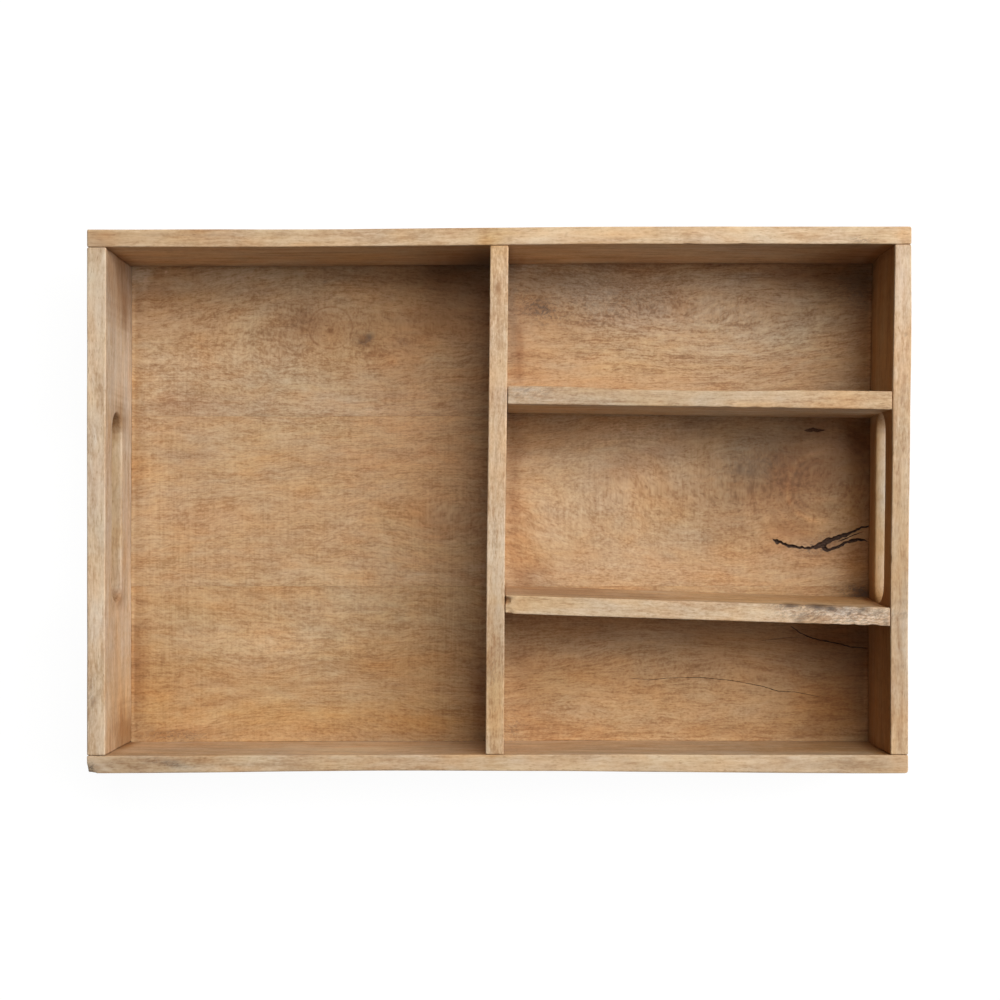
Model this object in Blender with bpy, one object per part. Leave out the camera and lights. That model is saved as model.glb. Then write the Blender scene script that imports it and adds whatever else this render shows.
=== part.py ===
"""Divided serving tray of solid wood, as a maker would nail it together.

Four butt-jointed outer boards stand round a floor of three edge-glued planks. One divider runs from
the front board to the back board, and two cross dividers run from it to the right end board. The
boards are held by finishing brads, set flush in their outer faces. Nothing moves.

Metres. X runs along the tray, Y to the back, Z up. The origin is the centre of the underside.
"""

import math

import bmesh
import bpy
from mathutils import Matrix, Vector

# Overall size
LENGTH = 0.508
WIDTH = 0.337
HEIGHT = 0.076

# Stock
WALL = 0.011
DIVIDER = 0.0115
FLOOR = 0.009
EDGE_ROUNDING = 0.0009
ROUNDING_STEPS = 2

# Clearance left in every joint for glue
GLUE_GAP = 0.0003

# Glue lines of the floor, from the middle of the tray
REAR_SEAM_Y = 0.0570
FRONT_SEAM_Y = -0.0548

# Dividers: where each crosses the middle of its run at the rim, and how far it stands out of true
CENTRE_DIVIDER_X = -0.0014
CENTRE_DIVIDER_TURN = math.radians(-0.53)
REAR_DIVIDER_Y = 0.0630
REAR_DIVIDER_TURN = math.radians(-0.83)
FRONT_DIVIDER_Y = -0.0682
FRONT_DIVIDER_TURN = math.radians(-1.86)
FRONT_DIVIDER_LEAN = math.radians(3.6)

# Hand slots, one through each end board
SLOT_LENGTH = 0.120
SLOT_HEIGHT = 0.0254
SLOT_BELOW_RIM = 0.0175
SLOT_OFFSET_Y = -0.004
SLOT_ROUNDING = 0.0016
SLOT_END_STEPS = 12
SLOT_ROUNDING_STEPS = 3
SLOT_ROUNDING_SWEEP = math.radians(72)
CUTTER_OVERRUN = 0.003

# Finishing brads
BRAD_LENGTH = 0.030
BRAD_SHANK = 0.0016
BRAD_HEAD = 0.0024
BRAD_HEAD_HEIGHT = 0.0006
BRAD_NECK = 0.0005
BRAD_POINT = 0.0022
BRAD_SET = 0.0003
BRAD_SIDES = 10
HOLE_CLEARANCE = 0.0003
CORNER_BRAD_COUNT = 3
DIVIDER_BRAD_COUNT = 3
CROSS_BRAD_COUNT = 2
FLOOR_BRAD_COUNT = 4
FLOOR_BRAD_TO_CORNER = 0.060

# Finishes: colour, roughness, metallic
RIM_WOOD = ((0.60, 0.42, 0.26), 0.62, 0.0)
DIVIDER_WOOD = ((0.58, 0.41, 0.25), 0.62, 0.0)
FLOOR_WOOD = ((0.52, 0.31, 0.16), 0.58, 0.0)
BRAD_STEEL = ((0.42, 0.40, 0.38), 0.40, 1.0)

UPRIGHT = math.pi / 2
SMOOTH_BELOW = math.radians(35)


# Plan geometry: a line is a point and a unit direction

def plan_line(x, y, turn):
    return Vector((x, y)), Vector((math.cos(turn), math.sin(turn)))


def beside(line, distance):
    """The line moved sideways, to the left of its own direction."""
    point, along = line
    return point + distance * Vector((-along.y, along.x)), along


def meet(first, second):
    (start, along), (other, across) = first, second
    turn = along.x * across.y - along.y * across.x
    gap = other - start
    return start + along * ((gap.x * across.y - gap.y * across.x) / turn)


def spread(low, high, count):
    """Evenly spaced values from low to high."""
    return [low + (high - low) * (step + 0.5) / count for step in range(count)]


# The faces that the boards meet at

BACK_FACE = plan_line(0, WIDTH / 2 - WALL, 0)
FRONT_FACE = plan_line(0, -WIDTH / 2 + WALL, 0)
RIGHT_FACE = plan_line(LENGTH / 2 - WALL, 0, UPRIGHT)
DIVIDER_FOOT = FLOOR + GLUE_GAP
CROSS_MIDDLE_X = (CENTRE_DIVIDER_X + LENGTH / 2 - WALL) / 2


def centre_line(_height=HEIGHT):
    """The middle of the centre divider, the same at every height."""
    return plan_line(CENTRE_DIVIDER_X, 0, UPRIGHT + CENTRE_DIVIDER_TURN)


def rear_line(_height=HEIGHT):
    """The middle of the rear cross divider, the same at every height."""
    return plan_line(CROSS_MIDDLE_X, REAR_DIVIDER_Y, REAR_DIVIDER_TURN)


def front_line(height=HEIGHT):
    """The middle of the front cross divider, whose foot stands further back than its top."""
    lean = math.tan(FRONT_DIVIDER_LEAN) * (HEIGHT - height)
    return plan_line(CROSS_MIDDLE_X, FRONT_DIVIDER_Y + lean, FRONT_DIVIDER_TURN)


def centre_right_face():
    return beside(centre_line(), -DIVIDER / 2)


def centre_left_face():
    return beside(centre_line(), DIVIDER / 2)


# Materials and objects

def finish(name, look):
    colour, roughness, metallic = look
    material = bpy.data.materials.new(name)
    material.use_nodes = True
    shader = material.node_tree.nodes["Principled BSDF"]
    shader.inputs["Base Color"].default_value = (*colour, 1)
    shader.inputs["Roughness"].default_value = roughness
    shader.inputs["Metallic"].default_value = metallic
    return material


def add_object(name, mesh, look=None):
    piece = bpy.data.objects.new(name, mesh)
    bpy.context.scene.collection.objects.link(piece)
    if look:
        mesh.materials.append(finish(name + "_finish", look))
    return piece


def add_cutter(name, mesh):
    cutter = add_object(name, mesh)
    cutter.hide_render = True
    cutter.display_type = "WIRE"
    return cutter


def cut(piece, cutter):
    modifier = piece.modifiers.new(cutter.name, "BOOLEAN")
    modifier.operation = "DIFFERENCE"
    modifier.solver = "EXACT"
    modifier.object = cutter


def mesh_of(name, bm):
    bmesh.ops.recalc_face_normals(bm, faces=bm.faces)
    mesh = bpy.data.meshes.new(name)
    bm.to_mesh(mesh)
    bm.free()
    mesh.shade_smooth()
    mesh.set_sharp_from_angle(angle=SMOOTH_BELOW)
    return mesh


def skin_loops(bm, loops):
    """Closes a body over a row of loops that hold as many points each."""
    rings = [[bm.verts.new(point) for point in loop] for loop in loops]
    for low, high in zip(rings, rings[1:]):
        for index, vert in enumerate(low):
            after = (index + 1) % len(low)
            bm.faces.new((vert, low[after], high[after], high[index]))
    bm.faces.new(reversed(rings[0]))
    bm.faces.new(rings[-1])


def board(name, low_plan, high_plan, bottom, top, look, rounded=None):
    """A board between two four-cornered plans, with the edges that rounded() picks sanded round.

    rounded() is given the middle and the direction of an edge.
    """
    bm = bmesh.new()
    skin_loops(bm, [[(*corner, bottom) for corner in low_plan], [(*corner, top) for corner in high_plan]])
    if rounded:
        edges = []
        for edge in bm.edges:
            first, second = (vert.co for vert in edge.verts)
            if rounded((first + second) / 2, (second - first).normalized()):
                edges.append(edge)
        bmesh.ops.bevel(
            bm,
            geom=edges,
            offset=EDGE_ROUNDING,
            offset_type="OFFSET",
            segments=ROUNDING_STEPS,
            profile=0.5,
            affect="EDGES",
        )
    return add_object(name, mesh_of(name, bm), look)


# Outer boards

def at(value, wanted):
    return abs(value - wanted) < GLUE_GAP / 2


def runs_along(edge_way, run):
    return abs(edge_way.dot(run)) > math.cos(SMOOTH_BELOW)


def long_board(name, side):
    """The front (side -1) or back (side 1) board, which runs past the ends of the end boards."""
    inner, outer = side * (WIDTH / 2 - WALL), side * WIDTH / 2
    plan = [Vector((x, y)) for x, y in (
        (-LENGTH / 2, inner), (LENGTH / 2, inner), (LENGTH / 2, outer), (-LENGTH / 2, outer))]

    def rounded(middle, _way):
        return at(middle.z, HEIGHT) or at(middle.y, outer)

    return board(name, plan, plan, 0, HEIGHT, RIM_WOOD, rounded)


def slot_loop(x, growth):
    """The outline of a hand slot at one depth of its board, grown all round."""
    radius = SLOT_HEIGHT / 2 + growth
    reach = (SLOT_LENGTH - SLOT_HEIGHT) / 2
    height = HEIGHT - SLOT_BELOW_RIM - SLOT_HEIGHT / 2
    points = []
    for end, start in ((1, -UPRIGHT), (-1, UPRIGHT)):
        for step in range(SLOT_END_STEPS + 1):
            angle = start + math.pi * step / SLOT_END_STEPS
            points.append((
                x,
                SLOT_OFFSET_Y + end * reach + radius * math.cos(angle),
                height + radius * math.sin(angle),
            ))
    return points


def slot_cutter(name, middle_x):
    """A lofted stadium that flares at both faces, so that the slot comes out with round edges."""
    flare = []
    for step in range(SLOT_ROUNDING_STEPS + 1):
        angle = SLOT_ROUNDING_SWEEP * step / SLOT_ROUNDING_STEPS
        flare.append((
            WALL / 2 - SLOT_ROUNDING * (math.sin(SLOT_ROUNDING_SWEEP) - math.sin(angle)),
            SLOT_ROUNDING * (1 - math.cos(angle)),
        ))
    depth, growth = flare[-1]
    flare.append((depth + CUTTER_OVERRUN, growth + CUTTER_OVERRUN * math.tan(SLOT_ROUNDING_SWEEP)))
    profile = [(-depth, growth) for depth, growth in reversed(flare)] + flare
    bm = bmesh.new()
    skin_loops(bm, [slot_loop(middle_x + depth, growth) for depth, growth in profile])
    return add_cutter(name, mesh_of(name, bm))


def end_board(name, side):
    """The left (side -1) or right (side 1) board, held between the long boards, with its hand slot."""
    inner, outer = side * (LENGTH / 2 - WALL), side * LENGTH / 2
    reach = WIDTH / 2 - WALL - GLUE_GAP
    plan = [Vector((x, y)) for x, y in (
        (inner, -reach), (outer, -reach), (outer, reach), (inner, reach))]

    def rounded(middle, way):
        return runs_along(way, Vector((0, 1, 0))) and (at(middle.z, HEIGHT) or at(middle.x, outer))

    piece = board(name, plan, plan, 0, HEIGHT, RIM_WOOD, rounded)
    cut(piece, slot_cutter(name + "_slot", (inner + outer) / 2))
    return piece


# Dividers

def divider(name, middle, start, end, thickness=DIVIDER):
    """A divider about a middle line that may lean, its ends seated against two faces."""
    run = Vector((*middle(HEIGHT)[1], 0))
    plans = []
    for height in (DIVIDER_FOOT, HEIGHT):
        faces = [beside(middle(height), offset) for offset in (-thickness / 2, thickness / 2)]
        plans.append([
            meet(faces[0], start), meet(faces[0], end), meet(faces[1], end), meet(faces[1], start)])

    def rounded(middle_point, way):
        return at(middle_point.z, HEIGHT) and runs_along(way, run)

    return board(name, *plans, DIVIDER_FOOT, HEIGHT, DIVIDER_WOOD, rounded)


def centre_divider():
    start, end = beside(FRONT_FACE, GLUE_GAP), beside(BACK_FACE, -GLUE_GAP)
    return divider("centre_divider", centre_line, start, end)


def cross_divider(name, middle, lean=0.0):
    start, end = beside(centre_right_face(), -GLUE_GAP), beside(RIGHT_FACE, GLUE_GAP)
    return divider(name, middle, start, end, DIVIDER / math.cos(lean))


# Floor

def floor_plank(name, low_y, high_y):
    """One of the planks, glued edge to edge, that lie between the outer boards."""
    reach = LENGTH / 2 - WALL - GLUE_GAP
    plan = [Vector((x, y)) for x, y in (
        (-reach, low_y), (reach, low_y), (reach, high_y), (-reach, high_y))]
    return board(name, plan, plan, 0, FLOOR, FLOOR_WOOD)


def floor_edges():
    """The two edges of each plank, front to back."""
    reach = WIDTH / 2 - WALL - GLUE_GAP
    half = GLUE_GAP / 2
    return (
        ("front", -reach, FRONT_SEAM_Y - half),
        ("middle", FRONT_SEAM_Y + half, REAR_SEAM_Y - half),
        ("rear", REAR_SEAM_Y + half, reach),
    )


# Brads

def brad_profile(clearance):
    """Radius and depth down a brad from its head, or down the hole that leaves it this clearance."""
    head, shank = BRAD_HEAD / 2 + clearance, BRAD_SHANK / 2 + clearance
    top = CUTTER_OVERRUN if clearance else 0
    return (
        (head, top),
        (head, -BRAD_HEAD_HEIGHT - clearance),
        (shank, -BRAD_HEAD_HEIGHT - BRAD_NECK - clearance),
        (shank, BRAD_POINT - BRAD_LENGTH - clearance),
        (shank / 3, -BRAD_LENGTH - clearance),
    )


def turned(bm, profile, place):
    """Adds a body turned from radius and height about the axis that place gives."""
    loops = []
    for radius, height in reversed(profile):
        loops.append([
            place @ Vector((
                radius * math.cos(2 * math.pi * side / BRAD_SIDES),
                radius * math.sin(2 * math.pi * side / BRAD_SIDES),
                height,
            ))
            for side in range(BRAD_SIDES)
        ])
    skin_loops(bm, loops)


def brad_place(x, y, z, outward):
    """The frame of a brad whose head is set just under the face at this point."""
    turn = outward.normalized().to_track_quat("Z", "Y").to_matrix().to_4x4()
    return Matrix.Translation(Vector((x, y, z)) - BRAD_SET * outward.normalized()) @ turn


def brad_places():
    """A name and a frame for every brad."""
    places = []
    back, right = Vector((0, 1, 0)), Vector((1, 0, 0))
    corner_heights = spread(0, HEIGHT, CORNER_BRAD_COUNT)
    divider_heights = spread(DIVIDER_FOOT, HEIGHT, DIVIDER_BRAD_COUNT)
    cross_heights = spread(DIVIDER_FOOT, HEIGHT, CROSS_BRAD_COUNT)
    corner_x = (LENGTH - WALL) / 2
    for side_name, side in (("front", -1), ("back", 1)):
        face_y, outward = side * WIDTH / 2, side * back
        for end_name, end in (("left", -1), ("right", 1)):
            for number, z in enumerate(corner_heights, 1):
                name = f"corner_brad_{side_name}_{end_name}_{number}"
                places.append((name, brad_place(end * corner_x, face_y, z, outward)))
        seat_x = meet(centre_line(), plan_line(0, face_y, 0)).x
        for number, z in enumerate(divider_heights, 1):
            name = f"centre_divider_brad_{side_name}_{number}"
            places.append((name, brad_place(seat_x, face_y, z, outward)))
        run = LENGTH / 2 - FLOOR_BRAD_TO_CORNER
        for number, x in enumerate(spread(-run, run, FLOOR_BRAD_COUNT), 1):
            name = f"floor_brad_{side_name}_{number}"
            places.append((name, brad_place(x, face_y, FLOOR / 2, outward)))
    for plank_name, low_y, high_y in floor_edges():
        for end_name, end in (("left", -1), ("right", 1)):
            name = f"floor_brad_{end_name}_{plank_name}"
            place = brad_place(end * LENGTH / 2, (low_y + high_y) / 2, FLOOR / 2, end * right)
            places.append((name, place))
    right_outside = plan_line(LENGTH / 2, 0, UPRIGHT)
    for cross_name, middle in (("rear", rear_line), ("front", front_line)):
        for number, z in enumerate(cross_heights, 1):
            line = middle(z)
            outward = Vector((*line[1], 0))
            for end_name, face, way in (
                ("left", centre_left_face(), -outward), ("right", right_outside, outward)):
                name = f"{cross_name}_cross_divider_brad_{end_name}_{number}"
                places.append((name, brad_place(*meet(line, face), z, way)))
    return places


def brad_mesh():
    bm = bmesh.new()
    turned(bm, brad_profile(0), Matrix.Identity(4))
    mesh = mesh_of("brad", bm)
    mesh.materials.append(finish("brad_steel", BRAD_STEEL))
    return mesh


def brad_holes(places):
    """One cutter for all the holes that the brads make."""
    bm = bmesh.new()
    for _name, place in places:
        turned(bm, brad_profile(HOLE_CLEARANCE), place)
    return add_cutter("brad_holes", mesh_of("brad_holes", bm))


def main():
    for thing in list(bpy.data.objects):
        bpy.data.objects.remove(thing)
    boards = [
        long_board("front_board", -1),
        long_board("back_board", 1),
        end_board("left_end_board", -1),
        end_board("right_end_board", 1),
        centre_divider(),
        cross_divider("rear_cross_divider", rear_line),
        cross_divider("front_cross_divider", front_line, FRONT_DIVIDER_LEAN),
    ]
    for plank_name, low_y, high_y in floor_edges():
        boards.append(floor_plank(plank_name + "_floor_plank", low_y, high_y))
    places = brad_places()
    holes = brad_holes(places)
    for piece in boards:
        cut(piece, holes)
    brad = brad_mesh()
    for name, place in places:
        add_object(name, brad).matrix_world = place


main()
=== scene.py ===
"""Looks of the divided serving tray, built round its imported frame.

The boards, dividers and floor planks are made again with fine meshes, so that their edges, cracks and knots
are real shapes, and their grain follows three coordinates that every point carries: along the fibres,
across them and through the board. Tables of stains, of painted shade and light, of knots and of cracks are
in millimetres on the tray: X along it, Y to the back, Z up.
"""

import math

import bmesh
import bpy
import numpy as np
from bpy.props import FloatProperty, FloatVectorProperty, IntProperty, PointerProperty
from mathutils import Matrix, Vector


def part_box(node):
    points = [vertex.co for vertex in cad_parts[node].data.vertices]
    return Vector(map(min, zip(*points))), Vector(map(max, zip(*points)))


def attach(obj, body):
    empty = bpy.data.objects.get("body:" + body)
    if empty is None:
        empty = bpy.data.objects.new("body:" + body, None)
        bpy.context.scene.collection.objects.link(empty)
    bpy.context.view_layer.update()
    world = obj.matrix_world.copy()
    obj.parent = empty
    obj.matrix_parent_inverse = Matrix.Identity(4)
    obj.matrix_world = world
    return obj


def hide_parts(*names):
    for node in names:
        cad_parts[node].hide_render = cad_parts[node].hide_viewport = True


bl_info = {
    "name": "Divided Serving Tray",
    "version": (1, 0, 0),
    "blender": (4, 5, 0),
    "location": "View3D > Sidebar > Tray",
    "description": "Grained boards, dividers, planks and brads of a divided serving tray",
    "category": "Object",
}

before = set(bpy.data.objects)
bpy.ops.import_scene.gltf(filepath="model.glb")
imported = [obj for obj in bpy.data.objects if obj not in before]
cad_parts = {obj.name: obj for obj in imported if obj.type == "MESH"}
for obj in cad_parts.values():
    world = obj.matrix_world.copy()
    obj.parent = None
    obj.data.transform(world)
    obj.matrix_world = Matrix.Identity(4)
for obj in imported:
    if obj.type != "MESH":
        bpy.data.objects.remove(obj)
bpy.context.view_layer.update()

MM = 0.001

# Places read from the frame
BACK_LOW, BACK_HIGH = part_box("back_board")
HALF_LENGTH, HALF_WIDTH, HEIGHT = BACK_HIGH
WALL = BACK_HIGH.y - BACK_LOW.y
INNER_X, INNER_Y = HALF_LENGTH - WALL, HALF_WIDTH - WALL
PLANK_LOW, PLANK_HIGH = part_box("middle_floor_plank")
FLOOR = PLANK_HIGH.z
REAR_SEAM = (PLANK_HIGH.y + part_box("rear_floor_plank")[0].y) / 2
FRONT_SEAM = (PLANK_LOW.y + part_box("front_floor_plank")[1].y) / 2
DIVIDER_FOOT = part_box("centre_divider")[0].z
CENTRE_X = (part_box("centre_divider")[0].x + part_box("centre_divider")[1].x) / 2
REAR_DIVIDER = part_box("rear_cross_divider")
FRONT_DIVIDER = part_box("front_cross_divider")

# Fixed seeds, one for each use of chance. The rows of a table, and noises laid over each other, count up from
# theirs.
SEEDS = {
    "front_board": 11, "back_board": 12, "left_end_board": 13, "right_end_board": 14, "centre_divider": 15,
    "rear_cross_divider": 16, "front_cross_divider": 17, "front_floor_plank": 18, "middle_floor_plank": 19,
    "rear_floor_plank": 20, "floor_grain": 3, "nicks": 7, "knot_rings": 8, "cracks": 32, "stains_and_shade": 31,
    "side_stains_shade_and_light": 131, "specks": 231, "lively": 261, "saw_marks": 291,
}

# What a full-strength stain, or a patch of painted shade or light, multiplies the wood's own colour by
TINTS = {
    "pale": (1.22, 1.25, 1.28),
    "brown": (0.70, 0.60, 0.52),
    "orange": (0.97, 0.83, 0.64),
    "yellow": (1.03, 0.96, 0.74),
    "red": (0.90, 0.74, 0.64),
    "grey": (0.74, 0.80, 0.90),
    "lavender": (1.00, 1.03, 1.14),
    "umber": (0.58, 0.46, 0.35),
    "amber": (0.94, 0.80, 0.56),
    "shade": (0.80, 0.76, 0.72),
    "dusk": (0.76, 0.77, 0.78),
    "copper": (1.17, 1.02, 0.90),
    "dust": (1.30, 1.38, 1.50),
    "mist": (0.98, 1.16, 1.42),
    "black": (0.17, 0.14, 0.12),
}

# What each board multiplies its wood's middle tone by
BOARD_TONES = {
    "front_board": (0.96, 0.95, 0.92),
    "back_board": (1.03, 1.03, 1.00),
    "left_end_board": (1.10, 1.16, 1.24),
    "right_end_board": (0.97, 0.98, 0.98),
    "centre_divider": (1.06, 1.06, 1.04),
    "rear_cross_divider": (0.92, 0.88, 0.80),
    "front_cross_divider": (1.00, 0.98, 0.93),
    "front_floor_plank": (0.96, 0.935, 0.865),
    "middle_floor_plank": (1.00, 1.01, 1.01),
    "rear_floor_plank": (0.94, 0.95, 0.97),
}
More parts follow.
